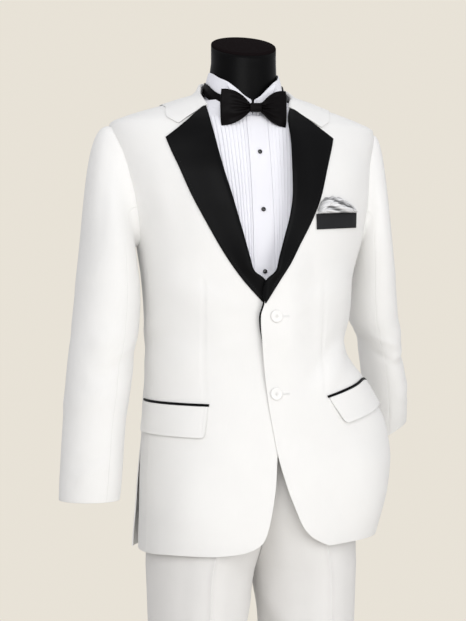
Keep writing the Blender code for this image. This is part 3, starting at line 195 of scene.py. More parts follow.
def mesh_piece(name, points, faces, look, uv=None):
    """A piece from closed faces, turned to face outwards, and smooth. uv has one pair for each point."""
    points = np.asarray(points, dtype=float)
    volume = 0.0
    for size in {len(face) for face in faces}:
        ring = points[np.array([face for face in faces if len(face) == size])]
        for corner in range(1, size - 1):
            crossed = np.cross(ring[:, corner], ring[:, corner + 1])
            volume += float(np.einsum("ij,ij->", ring[:, 0], crossed))
    if volume < 0:
        faces = [tuple(reversed(face)) for face in faces]
    mesh = bpy.data.meshes.new(name)
    mesh.from_pydata(points.tolist(), [], faces)
    mesh.polygons.foreach_set("use_smooth", [True] * len(mesh.polygons))
    if uv is not None:
        layer = mesh.uv_layers.new(name="weave")
        corners = np.empty(len(mesh.loops), dtype=int)
        mesh.loops.foreach_get("vertex_index", corners)
        layer.data.foreach_set("uv", np.asarray(uv, dtype=float)[corners].ravel())
    mesh.materials.append(look)
    mesh.update()
    return placed(bpy.data.objects.new(name, mesh))


def turned(name, profile, look, segments=96, middle=(0.0, 0.0, 0.0), axis=(0.0, 0.0, 1.0)):
    """A round piece turned about an axis, from a profile of (radius, height) from centre to centre."""
    across = Vector(axis).orthogonal().normalized()
    over = Vector(axis).cross(across)
    frame_of = np.array((across, over, Vector(axis)))
    points, rings = [], []
    for radius, height in profile:
        count = 1 if radius == 0 else segments
        angles = np.linspace(0, 2 * np.pi, count, endpoint=False)
        local = np.stack((radius * np.cos(angles), radius * np.sin(angles), np.full(count, height)), axis=1)
        rings.append(range(len(points), len(points) + count))
        points.extend((local @ frame_of + np.array(middle)).tolist())
    faces = []
    for below, above in zip(rings, rings[1:]):
        for step in range(segments):
            ahead = (step + 1) % segments
            ring = [below[step % len(below)], below[ahead % len(below)]]
            ring += [above[ahead % len(above)], above[step % len(above)]]
            faces.append(tuple(dict.fromkeys(ring)))
    return mesh_piece(name, points, faces, look)


floor_look = painted("floor_paint", (0.76, 0.725, 0.66), (0.80, 0.765, 0.70), 2.5, 0.75)
floor = turned("studio_floor", ((0.0, -0.02), (3.0, -0.02), (3.0, -0.0002), (0.0, -0.0002)), floor_look, 128)
floor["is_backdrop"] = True

# ---------------------------------------------------------------------------------------------------------
# The stand: a round steel plate with a rolled edge, and a steel pole with a turned flange on which the form
# is screwed. The pole rises inside the wearer's left trouser leg.
STEEL = {"base": 0.200, "thick": 0.0100, "rim": 0.0034, "pole_x": 0.1070, "pole": 0.0125}
POLE_ENDS = (0.0103, 0.8520)
FLANGE_ENDS = (0.8523, 0.8617)


def rigid(piece, slot, *nodes):
    """A hard piece is attached to the root, and the solids it stands for are hidden. The slot is not used."""
    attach(piece, "root")
    if nodes:
        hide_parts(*nodes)
    return piece


def brushed(name, around):
    """Steel, brushed round its axis on the plate, or drawn along it on the pole."""
    made, tree, shader = shader_of(name, 0.34, 1.0)
    place = add_node(tree, "TexCoord").outputs["Object"]
    if around:
        run = add_node(tree, "VectorMath", {"operation": "LENGTH"}, Vector=place).outputs["Value"]
        rings = add_node(tree, "TexNoise", {"noise_dimensions": "1D"}, W=run, Scale=900.0, Detail=2.0)
        strokes = rings.outputs["Fac"]
    else:
        drawn = add_node(tree, "Mapping", Vector=place, Scale=(1.0, 1.0, 0.02)).outputs["Vector"]
        strokes = noise(tree, drawn, 1400.0, 2.0)
    steel = between(tree, noise(tree, place, 14.0, 4.0), (0.50, 0.50, 0.51), (0.60, 0.60, 0.61))
    surfaced(tree, shader, steel, strokes, (0.26, 0.44), strokes, 0.00005, 0.3)
    return made


plate_steel = brushed("plate_steel", True)
pole_steel = brushed("pole_steel", False)
rim_steps = [np.radians(step) for step in (0, 15, 30, 45, 60, 75, 90)]
plate_profile = [(0.0, 0.0), (STEEL["base"] - 0.0006, 0.0), (STEEL["base"], 0.0006)]
plate_profile += [
    (STEEL["base"] - STEEL["rim"] * (1 - np.cos(step)), STEEL["thick"] - STEEL["rim"] * (1 - np.sin(step)))
    for step in rim_steps
]
plate_profile += [(0.150, STEEL["thick"]), (0.0, STEEL["thick"])]
rigid(turned("stand_plate", plate_profile, plate_steel, 160), "brushed_steel", "stand_base")


def bar_profile(radius, ends, eased):
    """A round bar's profile, with both of its edges eased."""
    low, high = ends
    return (
        (0.0, low), (radius - eased, low), (radius, low + eased),
        (radius, high - eased), (radius - eased, high), (0.0, high),
    )


pole_middle = (STEEL["pole_x"], 0.0, 0.0)
pole = turned("stand_tube", bar_profile(STEEL["pole"], POLE_ENDS, 0.0008), pole_steel, 64, pole_middle)
rigid(pole, "brushed_steel", "stand_pole")
flange = turned("form_flange", bar_profile(0.0190, FLANGE_ENDS, 0.0016), pole_steel, 64, pole_middle)
rigid(flange, "brushed_steel", "stand_flange")


# ---------------------------------------------------------------------------------------------------------
# The dress form: a moulded torso without head or limbs, covered in fine black knit, and closed at the tilted
# neck by a flat black lid. Its level sections are ovals that change smoothly from one height to the next.
class Table:
    """Rows of sizes under named columns. The first column is a row's place, and each other column runs
    smoothly from row to row without overshooting."""

    def __init__(self, names, *rows):
        self.names = names.split()
        self.values = np.array(rows, dtype=float)
        self.places = self.values[:, 0]
        steps = np.diff(self.places)[:, None]
        chords = np.diff(self.values, axis=0) / steps
        slopes = np.vstack([chords[:1], np.zeros_like(chords[1:]), chords[-1:]])
        before, after = chords[:-1], chords[1:]
        same_way = before * after > 0
        both = np.where(same_way, before + after, 1.0)
        slopes[1:-1] = np.where(same_way, 2 * before * after / both, 0.0)
        self.slopes = slopes

    def at(self, name, place):
        column = self.names.index(name)
        place = np.asarray(place, dtype=float)
        row = np.clip(np.searchsorted(self.places, place) - 1, 0, len(self.places) - 2)
        step = self.places[row + 1] - self.places[row]
        share = (place - self.places[row]) / step
        low, high = self.values[row, column], self.values[row + 1, column]
        rise, fall = self.slopes[row, column] * step, self.slopes[row + 1, column] * step
        turn = 3 * (high - low) - 2 * rise - fall
        bend = 2 * (low - high) + rise + fall
        inside = low + rise * share + turn * share**2 + bend * share**3
        return np.where(share < 0, low + share * rise, np.where(share > 1, high + (share - 1) * fall, inside))


# middle is how far the section's centre stands to the wearer's left. right, left, front and back are its
# reach from there. square is 2 for an ellipse, and more for a squarer section.
RING = "height middle right left front back square"
FORM = Table(
    RING,
    (0.862, 0.010, 0.128, 0.128, 0.080, 0.095, 2.30),
    (0.870, 0.010, 0.137, 0.137, 0.088, 0.104, 2.30),
    (0.900, 0.010, 0.144, 0.144, 0.093, 0.113, 2.20),
    (0.950, 0.010, 0.147, 0.147, 0.096, 0.110, 2.20),
    (1.010, 0.010, 0.141, 0.141, 0.095, 0.097, 2.20),
    (1.080, 0.008, 0.138, 0.138, 0.096, 0.088, 2.20),
    (1.150, 0.005, 0.141, 0.141, 0.103, 0.090, 2.20),
    (1.220, 0.002, 0.148, 0.148, 0.107, 0.099, 2.20),
    (1.290, 0.000, 0.162, 0.162, 0.103, 0.112, 2.20),
    (1.350, 0.000, 0.176, 0.176, 0.093, 0.114, 2.10),
    (1.395, 0.000, 0.186, 0.186, 0.081, 0.108, 2.00),
    (1.422, 0.000, 0.187, 0.187, 0.074, 0.101, 2.00),
    (1.438, 0.000, 0.165, 0.165, 0.069, 0.090, 2.00),
    (1.452, 0.000, 0.132, 0.132, 0.065, 0.079, 2.00),
    (1.466, 0.000, 0.096, 0.096, 0.062, 0.069, 2.00),
    (1.480, 0.000, 0.070, 0.070, 0.059, 0.062, 2.00),
    (1.496, 0.000, 0.0600, 0.0600, 0.057, 0.058, 2.00),
    (1.520, 0.000, 0.0560, 0.0560, 0.055, 0.056, 2.00),
    (1.550, 0.000, 0.0545, 0.0545, 0.054, 0.054, 2.00),
    (1.600, 0.001, 0.0530, 0.0530, 0.053, 0.053, 2.00),
)
LID = {"front": 1.5710, "back": 1.6160, "depth": 0.0530, "thick": 0.0040, "gap": 0.0001, "aside": 0.053}


def arrays(*values):
    """Numbers or grids, as arrays of one shape."""
    return np.broadcast_arrays(*(np.asarray(value, dtype=float) for value in values))


def unit(ways):
    """Directions, each brought to a length of 1."""
    return ways / np.maximum(np.linalg.norm(ways, axis=-1, keepdims=True), 1e-12)


def points_at(x, y, z):
    """Points from their coordinates, as one grid."""
    return np.stack(np.broadcast_arrays(x, y, z), axis=-1)


def oval(table, turn, height, plus="left", minus="right"):
    """The sine and the cosine of a turn in degrees, and how far the table's section reaches there."""
    sine, cosine = np.sin(np.radians(turn)), np.cos(np.radians(turn))
    side = np.where(sine > 0, table.at(plus, height), table.at(minus, height))
    depth = np.where(cosine > 0, table.at("front", height), table.at("back", height))
    power = table.at("square", height)
    return sine, cosine, (np.abs(sine / side) ** power + np.abs(cosine / depth) ** power) ** (-1 / power)


def level_point(table, turn, height):
    """The section's point at a turn in degrees: 0 in front, 90 at the wearer's left, 180 behind."""
    turn, height = arrays(turn, height)
    sine, cosine, reach = oval(table, turn, height)
    return points_at(table.at("middle", height) + reach * sine, -reach * cosine, height)


def lid_plane(ring):
    """The lid's top over a ring of points: it rises to the back, and a little to the wearer's left."""
    share = (ring[:, 1] + LID["depth"]) / (2 * LID["depth"])
    return LID["front"] + (LID["back"] - LID["front"]) * share + LID["aside"] * ring[:, 0]


def rings_piece(name, rings, look):
    """A closed body from rings of points, from its lowest to its highest, with flat ends."""
    count = len(rings[0])
    points = np.concatenate([*rings, rings[0].mean(axis=0)[None], rings[-1].mean(axis=0)[None]])
    low_middle, high_middle = len(points) - 2, len(points) - 1
    faces = []
    for level in range(len(rings) - 1):
        for step in range(count):
            here, ahead = level * count + step, level * count + (step + 1) % count
            faces.append((here, ahead, ahead + count, here + count))
    last = (len(rings) - 1) * count
    for step in range(count):
        faces.append((low_middle, (step + 1) % count, step))
        faces.append((high_middle, last + step, last + (step + 1) % count))
    return mesh_piece(name, points, faces, look)


def knit(name):
    """Fine black jersey: short loops in level rows, a little dull."""
    made, tree, shader = shader_of(name, 0.5, Specular_IOR_Level=0.07)
    place = add_node(tree, "TexCoord").outputs["Object"]
    cloud = noise(tree, place, 22.0, 4.0)
    black = between(tree, cloud, (0.0014, 0.0014, 0.0015), (0.0028, 0.0027, 0.0029))
    surfaced(tree, shader, black, cloud, (0.36, 0.46), bands(tree, place, "Z", 180.0, 1.5), 0.00006, 0.3)
    return made


LEVEL_TOP = 1.548  # the highest level section of the form, over which its neck is cut along the lid
LID_HEIGHT = 1.590
LID_RINGS = (
    (0.996, 0.0), (1.0, 0.10), (0.998, 0.40), (0.988, 0.68), (0.965, 0.90), (0.93, 0.98), (0.85, 1.0),
)
around = np.linspace(-180, 180, 144, endpoint=False)
form_heights = np.concatenate((np.linspace(0.862, 1.40, 60), np.linspace(1.405, LEVEL_TOP, 40)))
form_rings = [level_point(FORM, around, height) for height in form_heights]
neck_ring = level_point(FORM, around, LID_HEIGHT)
for lift in (0.35, 0.7, 1.0):
    ring = neck_ring.copy()
    top = lid_plane(ring) - LID["thick"] - LID["gap"]
    ring[:, 2] = LEVEL_TOP + (top - LEVEL_TOP) * lift
    form_rings.append(ring)
rigid(rings_piece("form_body", form_rings, knit("black_knit")), "black_jersey", "dress_form")

lid_rings = []
for size, rise in LID_RINGS:
    ring = neck_ring * (size, size, 1.0)
    ring[:, 2] = lid_plane(ring) - LID["thick"] * (1 - rise)
    lid_rings.append(ring)
lid_look = painted(
    "lid_lacquer", (0.0062, 0.0042, 0.0046), (0.0085, 0.0060, 0.0064), 30.0, 0.8, 0.00004,
    Specular_IOR_Level=0.01,
)
rigid(rings_piece("form_lid", lid_rings, lid_look), "black_lid", "neck_cap")


# ---------------------------------------------------------------------------------------------------------
# The dress shirt: fine white cotton with a lavender cast, cut close to the form, with no sleeves under the
# jacket. Ten pressed pleats lie on each front beside a flat placket, and the band collar has folded wings.
SEAM = 0.0003
STITCHED = 0.00004  # half the width of a sewn seam's groove at its foot
SHIRTING = 0.0012
SHIRT = Table(
    RING,
    (1.000, 0.008, 0.149, 0.149, 0.103, 0.100, 2.15),
    (1.060, 0.008, 0.1498, 0.1498, 0.104, 0.1004, 2.15),
    (1.120, 0.006, 0.149, 0.149, 0.110, 0.098, 2.15),
    (1.200, 0.002, 0.156, 0.156, 0.116, 0.108, 2.15),
    (1.280, 0.000, 0.168, 0.168, 0.112, 0.120, 2.15),
    (1.340, 0.000, 0.182, 0.182, 0.104, 0.124, 2.10),
    (1.400, 0.000, 0.196, 0.196, 0.091, 0.118, 2.00),
    (1.430, 0.000, 0.198, 0.198, 0.083, 0.110, 2.00),
    (1.450, 0.000, 0.178, 0.178, 0.077, 0.099, 2.00),
    (1.466, 0.000, 0.146, 0.146, 0.073, 0.089, 2.00),
    (1.480, 0.000, 0.112, 0.112, 0.070, 0.080, 2.00),
    (1.494, 0.000, 0.0800, 0.0800, 0.0670, 0.0720, 2.00),
    (1.506, 0.000, 0.0675, 0.0675, 0.0660, 0.0675, 2.00),
)
SHIRT_LOW = 1.045
SHIRT_TOP = {"front": 1.496, "back": 1.503}
SHIRT_NECK = {"half": 0.0600, "gap": 0.0010, "low": 1.4680, "high": 1.5010}
PLACKET = {"half": 0.0170, "middle": 0.0010, "wall": 0.0016, "low": 1.080, "high": 1.4675, "fold": 0.0050}
BIB = {
    "pleats": 10, "pitch": 0.0061, "fan": 1.8, "even": 1.4470, "rise": 0.0016, "low": 1.120, "top": 1.4660,
    "gap": 0.0004,
}
ON_SHIRT = 0.0007
SHIRT_ARMHOLE = {"top": 1.449, "bottom": 1.255, "reach": 0.046}
SEWN_EDGE = 0.0003  # how far a seam's pressed edge is rounded
FREE_EDGE = 0.0010  # how far a folded edge that stands free is rounded
HEMMED = (SEWN_EDGE, SEWN_EDGE, FREE_EDGE, SEWN_EDGE)
CUTS = {}


def ramp(value, low, high):
    """A smooth rise from 0 at low to 1 at high."""
    share = np.clip((np.asarray(value, dtype=float) - low) / (high - low), 0.0, 1.0)
    return share * share * (3 - 2 * share)


def turn_at_x(table, x, height):
    """The turn of the section's front point that stands at x."""
    x, height = arrays(x, height)
    aside = x - table.at("middle", height)
    side = np.where(aside > 0, table.at("left", height), table.at("right", height))
    power = table.at("square", height)
    share = np.minimum(np.abs(aside) / side, 0.9999)
    return np.degrees(np.arctan2(aside, table.at("front", height) * (1 - share**power) ** (1 / power)))


def turn_at_y(table, y, height, hand):
    """The turn of the section's side point that stands at y, on the wearer's right (-1) or left (1)."""
    y, height = arrays(y, height)
    depth = np.where(y > 0, table.at("back", height), table.at("front", height))
    power = table.at("square", height)
    share = np.minimum(np.abs(y) / depth, 0.9999)
    side = table.at("left" if hand > 0 else "right", height)
    return np.degrees(np.arctan2(hand * side * (1 - share**power) ** (1 / power), -y))


def outward(surface, across, along, across_step=0.5, along_step=0.002):
    """The outward direction of a surface(across, along). across runs to the left, and along runs up."""
    sideways = surface(across + across_step, along) - surface(across - across_step, along)
    upward = surface(across, along + along_step) - surface(across, along - along_step)
    return unit(np.cross(sideways, upward))


def off(surface, turn, height, distance):
    """The surface's point, moved out by a distance."""
    return surface(turn, height) + outward(surface, turn, height) * np.asarray(distance)[..., None]


def seam_turns(surface, turn, height, distance=STITCHED):
    """The degrees that span a distance along the section at this turn."""
    step = 0.5
    span = np.linalg.norm(surface(turn + step, height) - surface(turn - step, height), axis=-1)
    return distance * 2 * step / span


def spread(count, rim):
    """Shares from 0 to 1 in even steps, with the close steps that round an edge at both ends."""
    ends = rim * np.array([0.0, 0.12, 0.45, 1.0])
    middle = np.linspace(0, 1, count + 1)[1:-1]
    middle = middle[(middle > rim * 1.2) & (middle < 1 - rim * 1.2)]
    return np.concatenate([ends, middle, 1 - ends[::-1]])


def levels(low, high, count, rim=0.0006, *extra):
    """Heights from low to high, close together at both ends, with extra ones where a shape turns."""
    heights = low + (high - low) * spread(count, rim / (high - low))
    return np.unique(np.concatenate([heights, [h for h in extra if low < h < high]]))


def shell(name, outer, inner, look, soft=(SEWN_EDGE,) * 4):
    """A closed wall of cloth between two grids of points, rows up and columns across. Its layers meet in a
    rounded border; soft is how far each side is rounded: first and last column, first and last row."""
    middle = (outer + inner) / 2
    across, along = np.zeros(middle.shape[:2]), np.zeros(middle.shape[:2])
    across[:, 1:] = np.cumsum(np.linalg.norm(np.diff(middle, axis=1), axis=2), axis=1)
    along[1:] = np.cumsum(np.linalg.norm(np.diff(middle, axis=0), axis=2), axis=0)
    full = np.ones(middle.shape[:2])
    ways = (across, across[:, -1:] - across, along, along[-1:] - along)
    for distance, radius in zip(ways, soft):
        full = np.minimum(full, np.sqrt(1 - (1 - np.clip(distance / radius, 0, 1)) ** 2))
    outer = middle + (outer - middle) * full[..., None]
    inner = middle + (inner - middle) * full[..., None]
    rows, columns = middle.shape[:2]
    face = np.arange(rows * columns).reshape(rows, columns)
    back = face.copy()
    back[1:-1, 1:-1] = rows * columns + np.arange((rows - 2) * (columns - 2)).reshape(rows - 2, columns - 2)
    quads = []
    for grid, way in ((face, 1), (back, -1)):
        corners = np.stack((grid[:-1, :-1], grid[:-1, 1:], grid[1:, 1:], grid[1:, :-1]), axis=-1)
        quads.append(corners.reshape(-1, 4)[:, ::way])
    # The face at each corner is cut from the corner inwards, so that the two layers never share a cut.
    tips = {int(face[row, column]) for row in (0, -1) for column in (0, -1)}
    faces = []
    for ring in np.concatenate(quads).tolist():
        tip = next((step for step, point in enumerate(ring) if point in tips), None)
        if tip is None:
            faces.append(ring)
        else:
            ring = ring[tip:] + ring[:tip]
            faces += [ring[:3], [ring[0], ring[2], ring[3]]]
    points = np.concatenate([outer.reshape(-1, 3), inner[1:-1, 1:-1].reshape(-1, 3)])
    flat = np.stack((across - across[:, columns // 2, None], along + 0 * across), axis=-1)
    uv = np.concatenate([flat.reshape(-1, 2), flat[1:-1, 1:-1].reshape(-1, 2)])
    corner = outer[:-1, :-1]
    sides = np.cross(outer[:-1, 1:] - corner, outer[1:, :-1] - corner)
    area = float(np.linalg.norm(sides, axis=-1).sum())
    width, length = float(across[:, -1].max()), float(along[-1].max())
    CUTS[name] = (width, length, min(area, width * length))
    return mesh_piece(name, points, faces, look, uv)


def sewn(piece, held, rests_on, *nodes):
    """A cloth piece is attached to the root, and the solids it stands for are hidden. Its cut, what it
    measures laid flat, is read but not used.
    """
    width, length, area = CUTS[piece.name]
    width, length = round(width, 4), round(length, 4)
    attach(piece, "root")
    if nodes:
        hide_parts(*nodes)


def wall(point, *where, inside, thick):
    """The outer and the inner face of a wall over a surface, from which its inner face stands off."""
    return point(*where, inside + thick), point(*where, inside)


def cloth(name, faces, look, held, rests_on, *nodes, soft=(SEWN_EDGE,) * 4):
    """A cloth piece between its outer and its inner face."""
    sewn(shell(name, *faces, look, soft), held, rests_on, *nodes)


WAVE = 0.314  # a band texture of scale 1 repeats at this distance


def slubbed(tree, fine, long, cloud_scale, cloud_detail):
    """A cloth's own map in metres, the slubs along its threads, and the cloudiness of its dye."""
    flat = add_node(tree, "UVMap", {"uv_map": "weave"}).outputs["UV"]
    drawn = add_node(tree, "Mapping", Vector=flat, Scale=(fine, long, 1.0)).outputs["Vector"]
    place = add_node(tree, "TexCoord").outputs["Object"]
    return flat, noise(tree, drawn, 1.0, 2.0), noise(tree, place, cloud_scale, cloud_detail)


def woven(name, low, high, thread, lean, relief, roughness, **sockets):
    """A cloth's finish, woven on the piece's own map in metres: threads of one width, crossing or leaning,
    with slight slubs along them and a soft cloudiness in the dye."""
    made, tree, shader = shader_of(name, roughness, **sockets)
    flat, slubs, cloud = slubbed(tree, 900.0, 40.0, 11.0, 4.0)
    leant = add_node(tree, "Mapping", Vector=flat, Rotation=(0.0, 0.0, lean)).outputs["Vector"]
    warp, weft = (bands(tree, leant, way, WAVE / thread, 0.6) for way in "XY")
    height = summed(tree, summed(tree, warp, weft), slubs)
    dye = summed(tree, slubs, cloud, 0.35)
    ends = (roughness * 0.9, roughness * 1.1)
    surfaced(tree, shader, between(tree, dye, low, high), dye, ends, height, relief, 0.6)
    return made


def satin(name, low, high, roughness, gloss):
    """Satin: long floats of thread side by side, smooth and with a broad soft gloss along them."""
    made, tree, shader = shader_of(name, roughness, Specular_IOR_Level=gloss, Anisotropic=0.35)
    flat, slubs, cloud = slubbed(tree, 1400.0, 60.0, 16.0, 3.0)
    floats = bands(tree, flat, "X", WAVE / 0.0004, 0.8)
    ends = (roughness * 0.85, roughness * 1.15)
    surfaced(tree, shader, between(tree, cloud, low, high), slubs, ends, summed(tree, floats, slubs), 0.00004)
    return made


def stitch_tree():
    """Thread along lines: one short rounded stitch at every pitch, each a little uneven."""
    tree = bpy.data.node_groups.new("stitch_row", "GeometryNodeTree")
    tree.interface.new_socket("Geometry", in_out="INPUT", socket_type="NodeSocketGeometry")
    for socket in ("Pitch", "Length", "Thickness"):
        tree.interface.new_socket(socket, in_out="INPUT", socket_type="NodeSocketFloat")
    tree.interface.new_socket("Thread", in_out="INPUT", socket_type="NodeSocketMaterial")
    tree.interface.new_socket("Geometry", in_out="OUTPUT", socket_type="NodeSocketGeometry")
    given, made = tree.nodes.new("NodeGroupInput"), tree.nodes.new("NodeGroupOutput")
    curve, points = tree.nodes.new("GeometryNodeMeshToCurve"), tree.nodes.new("GeometryNodeCurveToPoints")
    points.mode = "LENGTH"
    bead, smooth = tree.nodes.new("GeometryNodeMeshUVSphere"), tree.nodes.new("GeometryNodeSetShadeSmooth")
    bead.inputs["Segments"].default_value = 6
    bead.inputs["Rings"].default_value = 4
    bead.inputs["Radius"].default_value = 0.5
    size, shaped = tree.nodes.new("ShaderNodeCombineXYZ"), tree.nodes.new("GeometryNodeTransform")
    uneven = tree.nodes.new("FunctionNodeRandomValue")
    uneven.data_type = "FLOAT_VECTOR"
    uneven.inputs[0].default_value = (0.88, 0.88, 0.80)
    uneven.inputs[1].default_value = (1.08, 1.08, 1.10)
    uneven.inputs["Seed"].default_value = 7
    placed = tree.nodes.new("GeometryNodeInstanceOnPoints")
    plain, dressed = tree.nodes.new("GeometryNodeRealizeInstances"), tree.nodes.new("GeometryNodeSetMaterial")
    for start, end in (
        (given.outputs["Geometry"], curve.inputs["Mesh"]),
        (curve.outputs["Curve"], points.inputs["Curve"]),
        (given.outputs["Pitch"], points.inputs["Length"]),
        (given.outputs["Thickness"], size.inputs["X"]),
        (given.outputs["Thickness"], size.inputs["Y"]),
        (given.outputs["Length"], size.inputs["Z"]),
        (bead.outputs["Mesh"], smooth.inputs["Geometry"]),
        (smooth.outputs["Geometry"], shaped.inputs["Geometry"]),
        (size.outputs["Vector"], shaped.inputs["Scale"]),
        (points.outputs["Points"], placed.inputs["Points"]),
        (points.outputs["Rotation"], placed.inputs["Rotation"]),
        (shaped.outputs["Geometry"], placed.inputs["Instance"]),
        (uneven.outputs[0], placed.inputs["Scale"]),
        (placed.outputs["Instances"], plain.inputs["Geometry"]),
        (plain.outputs["Geometry"], dressed.inputs["Geometry"]),
        (given.outputs["Thread"], dressed.inputs["Material"]),
        (dressed.outputs["Geometry"], made.inputs["Geometry"]),
    ):
        tree.links.new(start, end)
    return tree


STITCH_TREE = stitch_tree()


def stitched(name, slot, look, lines, pitch, length, thickness):
    """Rows of stitches along lines of points on a cloth, made into one plain mesh."""
    points = np.concatenate(lines)
    first = np.cumsum([0, *(len(line) for line in lines[:-1])])
    edges = []
    for start, line in zip(first, lines):
        edges += [(start + step, start + step + 1) for step in range(len(line) - 1)]
    guide_mesh = bpy.data.meshes.new(name + "_guide")
    guide_mesh.from_pydata(points.tolist(), edges, [])
    guide = placed(bpy.data.objects.new(name + "_guide", guide_mesh))
    modifier = guide.modifiers.new("stitches", "NODES")
    modifier.node_group = STITCH_TREE
    sizes = {"Pitch": pitch, "Length": length, "Thickness": thickness, "Thread": look}
    for socket in STITCH_TREE.interface.items_tree:
        if socket.name in sizes:
            modifier[socket.identifier] = sizes[socket.name]
    graph = bpy.context.evaluated_depsgraph_get()
    made = bpy.data.objects.new(name, bpy.data.meshes.new_from_object(guide.evaluated_get(graph)))
    guide.modifiers.remove(modifier)
    bpy.data.objects.remove(guide)
    rigid(placed(made), slot)


white_thread = painted("white_thread", (0.76, 0.755, 0.75), (0.86, 0.855, 0.85), 900.0, 0.6, 0.00002)
black_thread = painted("black_thread", (0.006, 0.006, 0.007), (0.012, 0.012, 0.013), 900.0, 0.6, 0.00002)
shirt_cotton = woven(
    "shirt_cotton", (0.80, 0.80, 0.855), (0.88, 0.88, 0.925), 0.00045, 0.0, 0.00006, 0.78, Sheen_Weight=0.08
)


shirt = partial(level_point, SHIRT)
SIDES = ((-1, "right"), (1, "left"))  # the sign of x on the wearer's two sides
BEHIND = {"front": -1, "back": 1}  # the sign of y


def hole_width(hole, height):
    """How wide an armhole is at a height, from 0 at its top and its bottom to 1 half way up."""
    middle = (hole["top"] + hole["bottom"]) / 2
    share = np.minimum(np.abs(height - middle) / (hole["top"] - middle), 1.0)
    return np.sqrt(1 - share * share)


def shirt_side_turn(height, hand, end):
    """Where the shirt's front or back ends: at its armhole, which is cut further in than a side seam."""
    y = BEHIND[end] * SHIRT_ARMHOLE["reach"] * hole_width(SHIRT_ARMHOLE, height)
    return turn_at_y(SHIRT, y, height, hand)


def shirt_neck_x(height):
    """The half width of the shirt's neck opening, where its collar stands."""
    share = ramp(height, SHIRT_NECK["low"], SHIRT_NECK["high"])
    return SHIRT_NECK["gap"] + SHIRT_NECK["half"] * np.sqrt(share)


EXTRA_ROWS = (1.4485, 1.449, 1.4495, 1.4682, 1.4688, 1.4696)  # at the armhole's top and the neck
shirt_rows = levels(SHIRT_LOW, SHIRT_TOP["front"], 76, 0.0006, *EXTRA_ROWS)[:, None]
for hand, side in SIDES:
    start = turn_at_x(SHIRT, PLACKET["middle"] + hand * (SEAM + shirt_neck_x(shirt_rows)), shirt_rows)
    end = shirt_side_turn(shirt_rows, hand, "front")
    end = end - hand * seam_turns(shirt, end, shirt_rows)
    turns = start + (end - start) * spread(40, 0.004)
    cloth(
        f"dress_shirt_front_{side}", wall(off, shirt, turns, shirt_rows, inside=-SHIRTING, thick=SHIRTING),
        shirt_cotton, "draped", ["form_body"], f"shirt_front_{side}",
    )

back_rows = levels(SHIRT_LOW, SHIRT_TOP["back"], 70)[:, None]
reach = shirt_side_turn(back_rows, 1, "back")
reach = reach + seam_turns(shirt, reach, back_rows)
turns = reach + (360 - 2 * reach) * spread(72, 0.002)
cloth(
    "dress_shirt_back", wall(off, shirt, turns, back_rows, inside=-SHIRTING, thick=SHIRTING), shirt_cotton,
    "draped", ["form_body"], "shirt_back",
)

# Each pleat climbs slowly away from the placket and drops steeply over its pressed edge.
PLEAT = Table(
    "share rise",
    (0.00, 0.00),
    (0.10, 0.08),
    (0.45, 0.42),
    (0.72, 0.86),
    (0.82, 1.00),
    (0.88, 0.92),
    (0.92, 0.40),
    (0.96, 0.04),
    (1.00, 0.00),
)
bib_rows = levels(BIB["low"], BIB["top"], 60)[:, None]
pleat_steps = np.array([0.0, 0.10, 0.28, 0.45, 0.62, 0.74, 0.82, 0.87, 0.90, 0.93, 0.965])
bib_columns = np.concatenate([
    [0.0, 0.03], *(pleat + pleat_steps[(2 if pleat == 0 else 0):] for pleat in range(BIB["pleats"])),
    [BIB["pleats"] - 0.01, BIB["pleats"]],
])
for hand, side in SIDES:
    pitch = BIB["pitch"] * (1 + BIB["fan"] * (bib_rows - BIB["even"]))
    wander = 0.0004 * np.sin(bib_rows * 31 + bib_columns * 1.7) * np.minimum(bib_columns, 1.0)
    x = PLACKET["middle"] + hand * (PLACKET["half"] + BIB["gap"] + bib_columns * pitch + wander)
    turns = turn_at_x(SHIRT, x, bib_rows)
    uneven = 1 + 0.12 * np.sin(bib_rows * 40 + bib_columns)
    pleated = SHIRTING * 0.8 + BIB["rise"] * PLEAT.at("rise", bib_columns % 1.0) * uneven
    cloth(
        f"dress_shirt_pleats_{side}", wall(off, shirt, turns, bib_rows, inside=ON_SHIRT, thick=pleated),
        shirt_cotton, "folded", [f"dress_shirt_front_{side}"], f"shirt_bib_{side}",
        soft=(SEWN_EDGE, SEWN_EDGE, 0.0004, 0.0004),
    )

placket_rows = levels(PLACKET["low"], PLACKET["high"], 60)[:, None]
x = PLACKET["middle"] + PLACKET["half"] * (2 * spread(24, 0.02) - 1)
turns = turn_at_x(SHIRT, x, placket_rows)
from_edge = PLACKET["half"] - np.abs(x - PLACKET["middle"])
pressed = -0.0004 * np.exp(-(((from_edge - PLACKET["fold"]) / 0.0006) ** 2))
pressed = pressed + 0.0003 * np.sin(placket_rows * 60) * ramp(from_edge, 0.0, 0.006)
cloth(
    "dress_shirt_placket",
    wall(off, shirt, turns, placket_rows, inside=ON_SHIRT, thick=PLACKET["wall"] + pressed),
    shirt_cotton, "laid", ["dress_shirt_front_left", "dress_shirt_front_right"], "shirt_placket",
)

run = np.linspace(1.083, 1.4640, 160)
fold_x = [PLACKET["middle"] + way * (PLACKET["half"] - PLACKET["fold"]) for way in (-1, 1)]
sunk = ON_SHIRT + PLACKET["wall"] - 0.0002
rows_of_thread = [off(shirt, turn_at_x(SHIRT, x, run), run, sunk) for x in fold_x]
stitched("placket_stitching", "white_shirting", white_thread, rows_of_thread, 0.0024, 0.0020, 0.00035)

